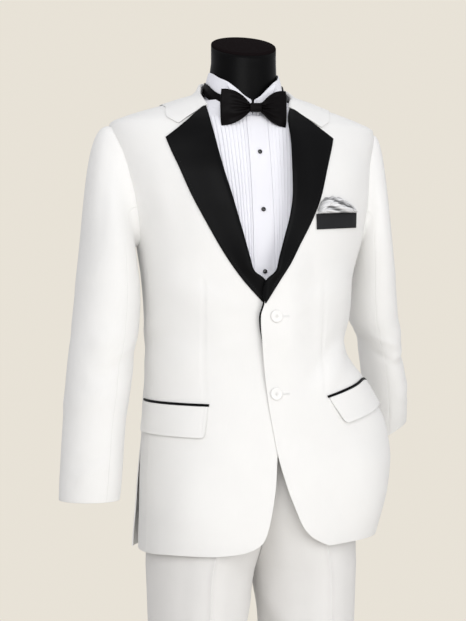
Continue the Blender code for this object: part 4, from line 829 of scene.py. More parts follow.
# The collar's stand sits turned a little to the wearer's right, and leans in towards its top edge.
COLLAR_TURN = -3.5
STAND = Table(
    "turn low high reach_low reach_high",
    (0, 1.4640, 1.4925, 0.0700, 0.0715),
    (10, 1.4665, 1.5000, 0.0700, 0.0705),
    (20, 1.4715, 1.5110, 0.0700, 0.0695),
    (36, 1.4800, 1.5250, 0.0700, 0.0665),
    (51, 1.4880, 1.5320, 0.0690, 0.0630),
    (72, 1.4970, 1.5415, 0.0658, 0.0584),
    (90, 1.5034, 1.5455, 0.0645, 0.0566),
    (135, 1.5034, 1.5485, 0.0645, 0.0566),
    (180, 1.5034, 1.5490, 0.0650, 0.0566),
)
WING = {
    "tip_turn": 33.0, "tip_drop": 0.024, "root_turn": 5.0, "root_drop": 0.004, "top": 0.985,
    "under": 0.0007, "out": 0.0030, "swell": 0.0006, "wall": 0.0012,
}
NECK_STRIP = {"turn": 96.0, "up": 0.30, "upright": 0.4, "inside": -0.0024, "below": 0.004, "off": 0.0003}


def stand_point(turn, share, out):
    """A point of the collar's stand, share running from its foot to its top edge."""
    away = np.abs(turn)
    low, high = STAND.at("low", away), STAND.at("high", away)
    reach = STAND.at("reach_low", away)
    reach = reach + (STAND.at("reach_high", away) - reach) * np.abs(share) ** 1.9 + out
    placed = np.radians(turn + COLLAR_TURN)
    return np.stack((np.sin(placed) * reach, -np.cos(placed) * reach, low + (high - low) * share), axis=-1)


def round_back(start, columns, rim):
    """Turns from a start in front, round the back, to the same place on the other side."""
    turns = start + (360 - 2 * start) * spread(columns, rim)
    return np.where(turns < 180, turns, turns - 360)


share = spread(14, 0.012)[:, None]
turns = round_back(0.4 + 1.5 * share * share, 150, 0.0012)
crisp = 0.0003 * np.sin(np.radians(turns) * 5 + share * 2) * (1 - ramp(share, 0.1, 0.5))
cloth(
    "dress_shirt_stand",
    wall(stand_point, turns, share, inside=crisp - SHIRTING * 1.4, thick=SHIRTING * 1.4),
    shirt_cotton, "stretched", ["form_body", "dress_shirt_back"], "shirt_collar_stand",
)

# The shirt's neckline runs from inside the stand's foot out to the fronts, and lies under the pleats.
run, turns = spread(24, 0.01)[:, None], (2 * spread(90, 0.002) - 1) * NECK_STRIP["turn"]
upright = NECK_STRIP["upright"]
shares = NECK_STRIP["up"] * (1 - np.minimum(run / upright, 1.0))
inside = stand_point(turns, shares, NECK_STRIP["inside"])
landing_height = STAND.at("low", np.abs(turns)) - NECK_STRIP["below"]
landing = off(shirt, turns + COLLAR_TURN, landing_height, NECK_STRIP["off"])
slope = (np.maximum(run - upright, 0.0) / (1 - upright))[..., None]
face = inside + (landing - inside) * (slope * (1.6 - 0.6 * slope))
normal = unit(np.cross(np.gradient(face, axis=1), -np.gradient(face, axis=0)))
cloth(
    "dress_shirt_neckline", (face, face - normal * SHIRTING * 0.8), shirt_cotton, "draped",
    ["dress_shirt_front_left", "dress_shirt_front_right"],
)

down, aside = spread(14, 0.02)[:, None], spread(26, 0.012)
turn = WING["root_turn"] + (WING["tip_turn"] - WING["root_turn"]) * aside
drop = (WING["root_drop"] + WING["tip_drop"] * (1 - aside) ** 0.8) * down
share = WING["top"] - drop / (STAND.at("high", turn) - STAND.at("low", turn))
out = WING["under"] + WING["out"] * down + WING["swell"] * np.sin(np.pi * down)
for hand, side in SIDES:
    cloth(
        f"dress_shirt_wing_{side}", wall(stand_point, hand * turn, share, inside=out, thick=WING["wall"]),
        shirt_cotton, "folded", ["dress_shirt_stand"], f"shirt_collar_wing_{side}",
    )

# The studs: black enamel domes in a narrow polished rim, put through the placket.
STUDS = (1.4085, 1.3165, 1.2190)
enamel = painted(
    "stud_enamel", (0.008, 0.008, 0.009), (0.012, 0.012, 0.014), 60.0, 0.12,
    Coat_Weight=0.6, Coat_Roughness=0.05,
)
STUD_PROFILE = (
    (0.0, 0.0), (0.0030, 0.0), (0.0035, 0.0004), (0.0036, 0.0010), (0.0035, 0.0017), (0.0032, 0.0020),
    (0.0030, 0.0019), (0.0028, 0.0020), (0.0022, 0.0025), (0.0013, 0.0029), (0.0005, 0.0030), (0.0, 0.0030),
)
for row, height in enumerate(STUDS, 1):
    turn = turn_at_x(SHIRT, PLACKET["middle"], height)
    point = off(shirt, turn, height, ON_SHIRT + PLACKET["wall"] + SEAM)
    stud = turned(f"enamel_stud_{row}", STUD_PROFILE, enamel, 40, point, outward(shirt, turn, height))
    rigid(stud, "black_stud", f"shirt_stud_{row}")


# ---------------------------------------------------------------------------------------------------------
# The bow tie: black satin, ready tied. Each flat-ended wing is pinched into pleats at the knot, which is a
# short wrapped band, and a narrow neck band runs round the collar's stand and under its wings.
BOW = {"x": -0.0047, "height": 1.4795, "y": -0.0860}
BOW_WING = Table(
    "share x half lift back thick",
    (0.00, 0.0090, 0.0066, 0.0000, 0.0000, 0.0098),
    (0.12, 0.0145, 0.0122, 0.0000, -0.0008, 0.0118),
    (0.30, 0.0230, 0.0196, 0.0004, 0.0010, 0.0110),
    (0.55, 0.0350, 0.0262, 0.0006, 0.0040, 0.0090),
    (0.80, 0.0460, 0.0288, 0.0004, 0.0075, 0.0068),
    (1.00, 0.0535, 0.0292, 0.0000, 0.0100, 0.0052),
)
BOW_PLEATS = (0.16, 0.42, 0.62, 0.86)


tie_satin = satin("tie_satin", (0.0022, 0.0017, 0.0019), (0.0040, 0.0031, 0.0034), 0.42, 0.06)
up, out = spread(72, 0.006)[:, None], spread(48, 0.008)
fan = 1 - ramp(out, 0.25, 0.85)
pinch = 0.0026 * sum(np.exp(-(((up - pleat) / 0.07) ** 2)) for pleat in BOW_PLEATS)
fine = 0.0006 * np.sin(up * 34 + out * 3) * (1 - ramp(out, 0.05, 0.5))
fullness = BOW_WING.at("thick", out) * (0.55 + 0.45 * np.sin(np.pi * up)) / 2
y = BOW["y"] + BOW_WING.at("back", out)
z = BOW["height"] + (2 * up - 1) * BOW_WING.at("half", out) + BOW_WING.at("lift", out)
for hand, side in SIDES:
    drape = 0.0011 * np.sin(up * 9 + hand * 0.8 + out * 2.5) * ramp(out, 0.3, 0.9)
    x = BOW["x"] + hand * (BOW_WING.at("x", out) + 0.0018 * np.sin(np.pi * up) * out)
    outer = points_at(x, y - fullness + pinch * fan + drape + fine, z)
    cloth(
        f"bow_wing_{side}", (outer, points_at(x, y + fullness, z)), tie_satin, "gathered", ["bow_knot_wrap"],
        f"bow_tie_wing_{side}", soft=(0.002, 0.0016, 0.0016, 0.0016),
    )

KNOT = {
    "half_width": 0.0096, "half_height": 0.0070, "depth": 0.0122, "swell": 0.10, "pleat": 0.060,
    "round": 0.22,
}
KNOT_CUT = (0.0164, 0.050, 0.00080)  # the width, the length and the area of its folded strip
wrap_bm = bmesh.new()
bmesh.ops.create_cube(wrap_bm, size=2.0)
bmesh.ops.bevel(wrap_bm, geom=wrap_bm.edges[:], offset=0.45, segments=7, profile=0.6, affect="EDGES")
bmesh.ops.subdivide_edges(wrap_bm, edges=wrap_bm.edges[:], cuts=3, use_grid_fill=True)
for vert in wrap_bm.verts:
    swell = 1 + KNOT["swell"] * (1 - vert.co.z**2)
    pleated = 1 + KNOT["pleat"] * np.sin(vert.co.z * 8.0 + 0.6) * (1 if vert.co.y < 0 else 0)
    pleated -= KNOT["round"] * vert.co.x**2
    vert.co.x = vert.co.x * KNOT["half_width"] * swell + BOW["x"]
    vert.co.y = vert.co.y * KNOT["depth"] / 2 * pleated + BOW["y"]
    vert.co.z = vert.co.z * KNOT["half_height"] + BOW["height"]
wrap_points = [tuple(vert.co) for vert in wrap_bm.verts]
wrap_faces = [tuple(vert.index for vert in face.verts) for face in wrap_bm.faces]
wrap_bm.free()
wrap_uv = [(point[0], point[2]) for point in wrap_points]
knot = mesh_piece("bow_knot_wrap", wrap_points, wrap_faces, tie_satin, wrap_uv)
CUTS[knot.name] = KNOT_CUT
sewn(knot, "stretched", ["bow_wing_left", "bow_wing_right"], "bow_tie_knot")

BAND = Table(
    "turn height half out",
    (0, 1.4800, 0.0060, 0.0056),
    (28, 1.4870, 0.0085, 0.0056),
    (46, 1.4955, 0.0095, 0.0013),
    (80, 1.5150, 0.0105, 0.0013),
    (125, 1.5240, 0.0100, 0.0013),
    (180, 1.5265, 0.0100, 0.0013),
)
BAND_START = 8.0
BAND_WALL = 0.0013
across = spread(10, 0.03)[:, None]
turns = round_back(BAND_START, 150, 0.002)
away = np.abs(turns)
low, high = STAND.at("low", away), STAND.at("high", away)
share = (BAND.at("height", away) + (2 * across - 1) * BAND.at("half", away) - low) / (high - low)
cloth(
    "bow_neck_band", wall(stand_point, turns, share, inside=BAND.at("out", away), thick=BAND_WALL), tie_satin,
    "stretched", ["dress_shirt_stand"], "bow_tie_band",
)

# ---------------------------------------------------------------------------------------------------------
# The trousers: white wool, a little darker than the jacket's, cut in two fronts and two backs that meet in
# side seams, inseams and a centre seam, pressed to a crease down each leg, and held by a straight waistband.
TROUSER_CLOTH = 0.0018
BAND_CLOTH = 0.0030
LEG = Table(
    "height middle offset inner outer front back square crease",
    (0.030, 0.014, 0.0980, 0.0560, 0.0580, 0.0770, 0.0800, 2.0, 0.0030),
    (0.080, 0.014, 0.0980, 0.0570, 0.0590, 0.0780, 0.0810, 2.0, 0.0040),
    (0.200, 0.014, 0.0980, 0.0600, 0.0620, 0.0830, 0.0870, 2.0, 0.0050),
    (0.400, 0.014, 0.0965, 0.0650, 0.0670, 0.0920, 0.0950, 2.0, 0.0050),
    (0.600, 0.014, 0.0940, 0.0735, 0.0740, 0.1020, 0.1040, 2.0, 0.0050),
    (0.660, 0.014, 0.0935, 0.0775, 0.0770, 0.1060, 0.1070, 2.0, 0.0050),
    (0.705, 0.014, 0.0930, 0.0850, 0.0790, 0.1080, 0.1100, 2.0, 0.0050),
    (0.740, 0.014, 0.0920, 0.0918, 0.0815, 0.1100, 0.1130, 2.0, 0.0050),
    (0.765, 0.014, 0.0880, 0.0965, 0.0850, 0.1120, 0.1170, 2.0, 0.0048),
    (0.800, 0.014, 0.0800, 0.1010, 0.0920, 0.1140, 0.1220, 2.1, 0.0040),
    (0.860, 0.013, 0.0500, 0.1100, 0.1190, 0.1150, 0.1280, 2.2, 0.0015),
    (0.930, 0.011, 0.0200, 0.1350, 0.1450, 0.1140, 0.1270, 2.2, 0.0010),
    (1.000, 0.010, 0.0000, 0.1580, 0.1580, 0.1110, 0.1160, 2.2, 0.0000),
    (1.070, 0.010, 0.0000, 0.1550, 0.1550, 0.1100, 0.1070, 2.2, 0.0000),
)
TROUSER_HEM = 0.036
TROUSER_TOP = 1.0297
WAISTBAND = {"low": 1.030, "high": 1.066}
LEG_GIRTH = 0.085
CREASE_TURN = {-1: 3.5, 1: 2.0}
CREASE = {"broad": 24, "sharp": 1.8, "calm": 9}  # in degrees beside the crease
# A ridge (or, below nought, a trough) runs from one end to the other: turn, height, to turn, to height,
# width and rise.
TROUSER_FOLDS = (
    (-150, 0.430, -60, 0.470, 0.034, 0.0035),
    (60, 0.450, 150, 0.420, 0.034, 0.0030),
    (-70, 0.700, -20, 0.640, 0.030, 0.0035),
    (40, 0.350, 10, 0.250, 0.030, 0.0030),
)
TROUSER_CREASES = (
    (-60, 0.690, -14, 0.615, 0.012, 0.0016),
    (-75, 0.655, -30, 0.600, 0.014, -0.0014),
    (30, 0.560, 75, 0.520, 0.016, 0.0014),
    (-140, 0.450, -80, 0.500, 0.014, -0.0018),
    (150, 0.455, 100, 0.500, 0.014, 0.0018),
    (170, 0.410, 110, 0.395, 0.012, -0.0016),
    (-30, 0.110, 20, 0.085, 0.014, 0.0018),
    (60, 0.140, 150, 0.105, 0.016, 0.0020),
    (-60, 0.120, -150, 0.095, 0.014, -0.0018),
    (160, 0.660, 120, 0.590, 0.018, 0.0018),
    (-160, 0.670, -120, 0.600, 0.018, 0.0016),
)


def fold_rise(folds, turn, height, girth):
    """How far a list of folds lifts the cloth here. girth is the cloth's usual distance from its middle."""
    total = 0.0
    for from_turn, low, to_turn, high, width, rise in folds:
        run_x, run_y = np.radians(to_turn - from_turn) * girth, high - low
        here_x, here_y = np.radians(turn - from_turn) * girth, height - low
        share = (here_x * run_x + here_y * run_y) / (run_x**2 + run_y**2)
        aside = np.hypot(here_x - run_x * share, here_y - run_y * share) / width
        ends = ramp(share, -0.3, 0.3) * (1 - ramp(share, 0.7, 1.3))
        total = total + rise * ends * np.exp(-aside * aside)
    return total


def leg_point(hand, turn, height):
    """A point of one leg: turn 0 is its front crease, 90 its outer side, 180 its back, -90 its inner side."""
    turn, height = arrays(turn, height)
    turn = (turn + 180) % 360 - 180
    sine, cosine, reach = oval(LEG, turn, height, "outer", "inner")
    from_crease = np.minimum(np.abs(turn - CREASE_TURN[hand]), np.abs(180 - np.abs(turn)))
    broad = np.maximum(1 - from_crease / CREASE["broad"], 0.0) ** 1.2
    reach = reach + LEG.at("crease", height) * (2.0 * broad + 0.6 * np.exp(-from_crease / CREASE["sharp"]))
    reach = reach + fold_rise(TROUSER_FOLDS, turn, height, LEG_GIRTH)
    calm = 1 - np.exp(-((from_crease / CREASE["calm"]) ** 2))
    reach = reach + fold_rise(TROUSER_CREASES, turn, height, LEG_GIRTH) * calm
    x = LEG.at("middle", height) + hand * (LEG.at("offset", height) + reach * sine)
    return points_at(x, -reach * cosine, height)


def inner_turn(height, end):
    """Where a leg's section meets the centre seam above the fork, or its own inseam below it."""
    offset = np.maximum(LEG.at("offset", height) - SEAM / 2, 0.0)
    inner, power = LEG.at("inner", height), LEG.at("square", height)
    inside = np.minimum(offset / inner, 1.0)
    away = LEG.at(end, height) * (1 - inside**power) ** (1 / power)
    turn = -np.degrees(np.arctan2(offset, away))
    return np.where(offset >= inner, -90.0, turn if end == "front" else -180 - turn)


trouser_wool = woven(
    "trouser_wool", (0.73, 0.72, 0.705), (0.80, 0.79, 0.775), 0.0006, 0.9, 0.00009, 0.82, Sheen_Weight=0.15
)
FORK_ROWS = (0.705, 0.720, 0.735, 0.740, 0.745, 0.750, 0.760)
leg_rows = levels(TROUSER_HEM, TROUSER_TOP, 110, 0.0008, *FORK_ROWS)[:, None]
crease_steps = np.array([0.004, 0.010, 0.018, 0.032])
leg_columns = np.unique(np.concatenate((spread(44, 0.004), 0.5 - crease_steps, 0.5 + crease_steps)))
for hand, side in SIDES:
    leg = partial(leg_point, hand)
    for end, way, outer_side, crease in (("front", 1, 90.0, CREASE_TURN[hand]), ("back", -1, -270.0, -180.0)):
        inner = inner_turn(leg_rows, end)
        inner = inner + way * seam_turns(leg, inner, leg_rows)
        outer_side = outer_side - way * seam_turns(leg, outer_side, leg_rows)
        turns = np.where(
            leg_columns <= 0.5,
            inner + (crease - inner) * np.minimum(leg_columns, 0.5) * 2,
            crease + (outer_side - crease) * np.maximum(leg_columns * 2 - 1, 0.0),
        )
        probe = np.clip(turns, np.minimum(inner, outer_side) + 0.6, np.maximum(inner, outer_side) - 0.6)
        face = leg(turns, leg_rows)
        lining = face - outward(leg, probe, leg_rows) * hand * TROUSER_CLOTH
        cloth(
            f"trouser_leg_{end}_{side}", (face, lining), trouser_wool, "hung", ["trouser_band"],
            f"trouser_{end}_{side}", soft=(SEWN_EDGE, SEWN_EDGE, 0.0008, SEWN_EDGE),
        )


def waist(turn, height):
    """The trousers' top, over which the waistband lies."""
    turn, height = arrays(turn, height)
    sine, cosine, reach = oval(LEG, turn, height, "outer", "outer")
    return points_at(LEG.at("middle", height) + reach * sine, -reach * cosine, height)


band_rows = WAISTBAND["low"] + (WAISTBAND["high"] - WAISTBAND["low"]) * spread(8, 0.025)[:, None]
gap = seam_turns(waist, 180, WAISTBAND["low"])
turns = -180 + gap + (360 - 2 * gap) * spread(96, 0.001)
cloth(
    "trouser_band", wall(off, waist, turns, band_rows, inside=SEAM - BAND_CLOTH, thick=BAND_CLOTH),
    trouser_wool, "stretched", ["dress_shirt_back"], "trouser_waistband",
)
run = np.linspace(-178.5, 178.5, 500)
row_heights = (WAISTBAND["low"] + 0.0025, WAISTBAND["high"] - 0.0025)
rows_of_thread = [off(waist, run, height, SEAM + 0.0001) for height in row_heights]
stitched("waistband_stitching", "white_trousering", white_thread, rows_of_thread, 0.0028, 0.0023, 0.0004)

# ---------------------------------------------------------------------------------------------------------
# The jacket's body: firm white wool, canvassed in front, cut in two fronts, two side panels and two backs
# with a vent beside each. The left front closes over the right one and both are cut away below.
SUITING = 0.0020
JACKET = Table(
    RING,
    (0.740, 0.006, 0.177, 0.203, 0.150, 0.150, 2.20),
    (0.772, 0.006, 0.177, 0.210, 0.150, 0.150, 2.20),
    (0.820, 0.006, 0.176, 0.224, 0.149, 0.153, 2.20),
    (0.870, 0.006, 0.175, 0.238, 0.147, 0.155, 2.20),
    (0.915, 0.006, 0.174, 0.243, 0.145, 0.153, 2.20),
    (0.970, 0.006, 0.172, 0.235, 0.141, 0.147, 2.20),
    (1.015, 0.006, 0.170, 0.215, 0.138, 0.138, 2.20),
    (1.050, 0.006, 0.168, 0.194, 0.135, 0.128, 2.20),
    (1.070, 0.006, 0.168, 0.177, 0.134, 0.123, 2.20),
    (1.090, 0.006, 0.168, 0.165, 0.133, 0.119, 2.20),
    (1.110, 0.006, 0.168, 0.162, 0.133, 0.117, 2.20),
    (1.150, 0.005, 0.169, 0.171, 0.133, 0.116, 2.20),
    (1.210, 0.003, 0.171, 0.178, 0.135, 0.122, 2.20),
    (1.265, 0.000, 0.176, 0.189, 0.136, 0.132, 2.20),
    (1.320, 0.000, 0.189, 0.201, 0.134, 0.138, 2.15),
    (1.370, 0.000, 0.204, 0.212, 0.125, 0.136, 2.10),
    (1.410, 0.000, 0.216, 0.221, 0.111, 0.128, 2.00),
    (1.440, 0.000, 0.223, 0.226, 0.096, 0.115, 2.00),
    (1.457, 0.000, 0.222, 0.225, 0.084, 0.106, 2.00),
    (1.470, 0.000, 0.196, 0.199, 0.074, 0.098, 2.00),
    (1.482, 0.000, 0.160, 0.164, 0.065, 0.090, 2.00),
    (1.494, 0.000, 0.119, 0.122, 0.057, 0.082, 2.00),
    (1.505, 0.000, 0.084, 0.085, 0.051, 0.075, 2.00),
    (1.520, 0.000, 0.0712, 0.0718, 0.047, 0.0708, 2.00),
    (1.540, 0.000, 0.0662, 0.0666, 0.045, 0.0676, 2.00),
    (1.556, 0.000, 0.0646, 0.0650, 0.044, 0.0660, 2.00),
)
# Front edges: the x of each front's edge up to the break of its lapel, then of its roll line.
EDGE = Table(
    "height right left",
    (0.7700, -0.1050, 0.1060),
    (0.7755, -0.0500, 0.0930),
    (0.7800, -0.0290, 0.0850),
    (0.7910, -0.0115, 0.0700),
    (0.8095, -0.0030, 0.0560),
    (0.8445, 0.0048, 0.0425),
    (0.8850, 0.0108, 0.0280),
    (0.9300, 0.0140, 0.0145),
    (0.9700, 0.0215, 0.0070),
    (1.0110, 0.0290, 0.0000),
    (1.0600, 0.0330, -0.0060),
    (1.1100, 0.0330, -0.0100),
    (1.1480, 0.0280, -0.0125),
    (1.1720, 0.0040, -0.0064),
    (1.1900, 0.0000, -0.0062),
    (1.2050, -0.0060, -0.0026),
    (1.2210, -0.0253, 0.0131),
    (1.2400, -0.0312, 0.0187),
    (1.2700, -0.0397, 0.0290),
    (1.3080, -0.0502, 0.0398),
    (1.3400, -0.0588, 0.0450),
    (1.3840, -0.0698, 0.0482),
    (1.4260, -0.0767, 0.0515),
    (1.4560, -0.0800, 0.0535),
    (1.4850, -0.0812, 0.0645),
    (1.4950, -0.0850, 0.0760),
    (1.5030, -0.0890, 0.0875),
)
HEM = {"height": 0.7720, "eased": 0.900}
JACKET_TOP = {"front": 1.502, "back": 1.5035}
HEM_LIFT = Table(
    "turn lift",
    (-180, 0.0),
    (-100, 0.0),
    (-80, 0.0010),
    (-55, 0.0050),
    (-15, 0.0062),
    (20, 0.0130),
    (34, 0.0165),
    (66, 0.0200),
    (95, 0.0200),
    (150, 0.0),
    (180, 0.0),
)
ARMHOLE = {"top": 1.4525, "bottom": 1.2625, "front": 0.038, "back": 0.060}
ARMHOLE_MIDDLE = (ARMHOLE["top"] + ARMHOLE["bottom"]) / 2
ARMHOLE_HALF = ARMHOLE["top"] - ARMHOLE_MIDDLE
SIDE_SEAM = {"front": -0.030, "back": 0.046}
SIDE_TOP = 1.2480  # the height from which a side panel follows the underarm
VENT = {"height": 0.955, "depth": 0.0105}
OVERLAP = {"thick": 0.0026, "lift": 0.0070}
DART = {"right": -0.0965, "left": 0.0985, "lean": 0.010, "from": 1.10, "deep": 0.0016, "half": 0.0016}
GIRTH = 0.145
JACKET_FOLDS = (
    (80, 1.360, 76, 1.240, 0.026, 0.0070),
    (-64, 1.215, -30, 1.150, 0.030, 0.0035),
    (62, 1.205, 30, 1.150, 0.030, 0.0035),
    (-60, 1.070, -26, 1.125, 0.030, 0.0030),
    (56, 0.930, 60, 0.800, 0.034, 0.0050),
    (-48, 0.920, -52, 0.800, 0.034, 0.0035),
    (120, 1.140, 165, 1.110, 0.034, 0.0040),
    (-120, 1.140, -165, 1.110, 0.034, 0.0040),
    (150, 1.300, 172, 1.380, 0.034, -0.0030),
    (-150, 1.300, -172, 1.380, 0.034, -0.0030),
)
# Finer creases: they drag from the fastened button, the waist, the hand's side and the blades.
JACKET_CREASES = (
    (14, 1.152, 44, 1.192, 0.012, 0.0016),
    (18, 1.138, 52, 1.120, 0.012, 0.0013),
    (-12, 1.150, -40, 1.182, 0.012, 0.0013),
    (-14, 1.128, -46, 1.100, 0.013, -0.0012),
    (62, 1.105, 33, 1.030, 0.015, 0.0034),
    (64, 1.128, 80, 1.090, 0.010, -0.0018),
    (52, 1.112, 27, 1.052, 0.014, -0.0022),
    (30, 0.985, 58, 0.905, 0.018, 0.0018),
    (36, 0.880, 48, 0.800, 0.016, -0.0016),
    (-70, 1.150, -100, 1.120, 0.012, 0.0018),
    (-66, 1.120, -104, 1.090, 0.012, -0.0015),
    (84, 1.170, 112, 1.130, 0.012, 0.0018),
    (88, 1.120, 120, 1.085, 0.012, -0.0016),
    (130, 1.120, 176, 1.128, 0.013, 0.0016),
    (-126, 1.125, -174, 1.100, 0.013, 0.0018),
    (-135, 1.160, -172, 1.175, 0.012, -0.0014),
    (128, 1.165, 168, 1.180, 0.012, -0.0014),
    (140, 1.420, 165, 1.330, 0.018, 0.0018),
    (-140, 1.420, -165, 1.335, 0.018, 0.0018),
    (138, 0.960, 146, 0.830, 0.020, 0.0024),
    (-136, 0.950, -148, 0.820, 0.020, 0.0022),
    (64, 1.400, 58, 1.310, 0.016, 0.0015),
    (-66, 1.410, -60, 1.300, 0.016, 0.0016),
    (-58, 1.370, -50, 1.270, 0.018, -0.0012),
)


def hem_height(turn, height):
    """The hem rises a little in front, and more at the wearer's left, where the jacket is carried out."""
    return height + HEM_LIFT.at("lift", turn) * (1 - ramp(height, HEM["height"], HEM["eased"]))


def jacket(turn, height):
    """The jacket's outer face, with its folds."""
    turn = (np.asarray(turn, dtype=float) + 180) % 360 - 180
    point = level_point(JACKET, turn, height)
    rise = fold_rise(JACKET_FOLDS, turn, height, GIRTH) + fold_rise(JACKET_CREASES, turn, height, GIRTH)
    rise = rise + 0.0005 * np.sin(np.radians(turn) * 3 + height * 17) * np.sin(height * 41 + 0.7)
    return point + unit(point - points_at(JACKET.at("middle", height), 0.0, height)) * rise[..., None]


def armhole_height(y):
    """The height of the armhole's underarm edge."""
    share = np.minimum(np.abs(y) / np.where(y < 0, ARMHOLE["front"], ARMHOLE["back"]), 1.0)
    return ARMHOLE_MIDDLE - ARMHOLE_HALF * np.sqrt(1 - share * share)


def side_turn(height, hand, end):
    """Where a front or a back ends at the side: the side seam, then the armhole, then the shoulder seam."""
    y = BEHIND[end] * ARMHOLE[end] * hole_width(ARMHOLE, height)
    y = np.where(height < armhole_height(SIDE_SEAM[end]), SIDE_SEAM[end], y)
    return turn_at_y(JACKET, np.where(height >= ARMHOLE["top"], 0.0, y), height, hand)


def over(x, height):
    """The left front passes over the right one below the break, and eases back onto the body beside it. Its
    edge stands off most at the break."""
    raised = OVERLAP["thick"] * ramp(height, 0.84, 0.93) + OVERLAP["lift"] * ramp(height, 0.98, 1.13)
    return raised * (1 - ramp(x, 0.030, 0.085)) * (1 - ramp(height, 1.215, 1.28))


def front_point(hand, turn, height, distance=0.0):
    """A point over a front's face."""
    raised = distance + (over(jacket(turn, height)[..., 0], height) if hand > 0 else 0.0)
    return off(jacket, turn, hem_height(turn, height), raised)


def inset(x, height, distance):
    """A climbing line moved sideways by a distance: to the wearer's left, or to the right below nought."""
    step_x, step_up = np.gradient(x), np.gradient(height)
    size = np.hypot(step_x, step_up)
    return x + distance * step_up / size, height - distance * step_x / size


PICKED = 0.0055  # how far the hand stitching lies inside an edge
jacket_thread, lapel_thread = [], []
suiting = woven(
    "suiting_wool", (0.80, 0.795, 0.78), (0.87, 0.865, 0.85), 0.0006, 0.9, 0.00010, 0.82, Sheen_Weight=0.18
)
ARMHOLE_ROWS = (1.4440, 1.4470, 1.4495, 1.4510, 1.4518, 1.4523, 1.4525, 1.4528)
HEM_ROWS = (0.7725, 0.7740, 0.7755, 0.7775)
front_rows = levels(HEM["height"], JACKET_TOP["front"], 150, 0.0012, *HEM_ROWS, *ARMHOLE_ROWS)[:, None]
back_rows = levels(HEM["height"], JACKET_TOP["back"], 140, 0.0012, *ARMHOLE_ROWS)[:, None]
for hand, side in SIDES:
    start = turn_at_x(JACKET, EDGE.at(side, front_rows), front_rows)
    end = side_turn(front_rows, hand, "front")
    end = end - hand * seam_turns(jacket, end, front_rows)
    turns = start + (end - start) * spread(64, 0.005)
    dart_x = DART[side] + hand * DART["lean"] * (front_rows - DART["from"])
    beside = jacket(turns, front_rows)[..., 0] - dart_x
    dart = -DART["deep"] * np.exp(-((beside / DART["half"]) ** 2)) * ramp(front_rows, 1.015, 1.04)
    dart = dart * (1 - ramp(front_rows, 1.19, 1.215)) * (np.abs(turns) < 75)
    cloth(
        f"dinner_jacket_front_{side}",
        wall(front_point, hand, turns, front_rows, inside=dart - SUITING, thick=SUITING),
        suiting, "draped", [f"dress_shirt_front_{side}"], f"jacket_front_{side}",
        soft=(FREE_EDGE, SEWN_EDGE, FREE_EDGE, SEWN_EDGE),
    )
    run = np.linspace(0.7790, 1.1600, 260)
    x, run = inset(EDGE.at(side, run), run, hand * PICKED)
    jacket_thread.append(front_point(hand, turn_at_x(JACKET, x, run), run))

    across, rows = spread(22, 0.008), spread(110, 0.003)[:, None]
    top = armhole_height(SIDE_SEAM["front"] + (SIDE_SEAM["back"] - SIDE_SEAM["front"]) * across)
    heights = HEM["height"] + (SIDE_TOP - HEM["height"]) * rows + (top - SIDE_TOP) * ramp(rows, 0.8, 1.0)
    start = turn_at_y(JACKET, SIDE_SEAM["front"], heights, hand)
    end = turn_at_y(JACKET, SIDE_SEAM["back"], heights, hand)
    start = start + hand * seam_turns(jacket, start, heights)
    end = end - hand * seam_turns(jacket, end, heights)
    turns = start + (end - start) * across
    cloth(
        f"dinner_jacket_side_{side}",
        wall(off, jacket, turns, hem_height(turns, heights), inside=-SUITING, thick=SUITING),
        suiting, "draped", [f"dinner_jacket_front_{side}"], f"jacket_side_{side}", soft=HEMMED,
    )

    end = side_turn(back_rows, hand, "back")
    start = hand * 180 - hand * seam_turns(jacket, 180, back_rows)
    end = end + hand * seam_turns(jacket, end, back_rows)
    share = spread(56, 0.006)
    turns = start + (end - start) * share
    fallen = np.clip((VENT["height"] - back_rows) / (VENT["height"] - HEM["height"]), 0.0, 1.0)
    vent_open = VENT["depth"] * fallen**0.9 * ramp(share, 0.55, 1.0)
    cloth(
        f"dinner_jacket_back_{side}",
        wall(off, jacket, turns, hem_height(turns, back_rows), inside=vent_open - SUITING, thick=SUITING),
        suiting, "draped", ["dress_shirt_back"], f"jacket_back_{side}", soft=HEMMED,
    )

# The lapels: black satin faced over canvas, rolled back from the front edges at the break, with a straight
# gorge at the top. They lie on the fronts and swell a little at the roll.
SATIN = 0.0018
LAPEL = Table(
    "share roll_height right_edge right_height left_edge left_height",
    (0.00, 1.1700, -0.0059, 1.1690, -0.0052, 1.1690),
    (0.12, 1.2080, -0.0400, 1.2065, 0.0190, 1.2080),
    (0.25, 1.2470, -0.0675, 1.2460, 0.0445, 1.2465),
    (0.40, 1.2960, -0.0950, 1.2960, 0.0735, 1.2960),
    (0.55, 1.3420, -0.1170, 1.3410, 0.0942, 1.3415),
    (0.72, 1.3970, -0.1330, 1.3850, 0.1080, 1.3840),
    (0.88, 1.4480, -0.1430, 1.4130, 0.1195, 1.4150),
    (1.00, 1.4810, -0.1482, 1.4290, 0.1265, 1.4338),
)
LAPEL_BODY = 0.0008
ROLL = {"from": 0.06, "to": 0.12, "past": 0.0032, "swell": 0.0036, "sunk": 0.0030}
lapel_satin = satin("lapel_satin", (0.0026, 0.0026, 0.0029), (0.0042, 0.0042, 0.0046), 0.40, 0.07)
along = spread(110, 0.004)[:, None]
across = np.unique(np.concatenate((spread(40, 0.010), (0.03, 0.06, 0.09))))
roll_height = LAPEL.at("roll_height", along)
share = np.maximum(across - ROLL["from"], 0.0) / (1 - ROLL["from"])
turned_in = (1 - ramp(across, 0.0, ROLL["to"])) * ramp(along, 0.0, 0.04)
swell = ROLL["swell"] * (1 - ramp(across, 0.1, 0.8)) * ramp(along, 0.0, 0.15)
swell = swell + 0.0005 * np.sin(along * 11 + across * 4) * np.sin(np.pi * across)
distance = LAPEL_BODY + swell - ROLL["sunk"] * turned_in
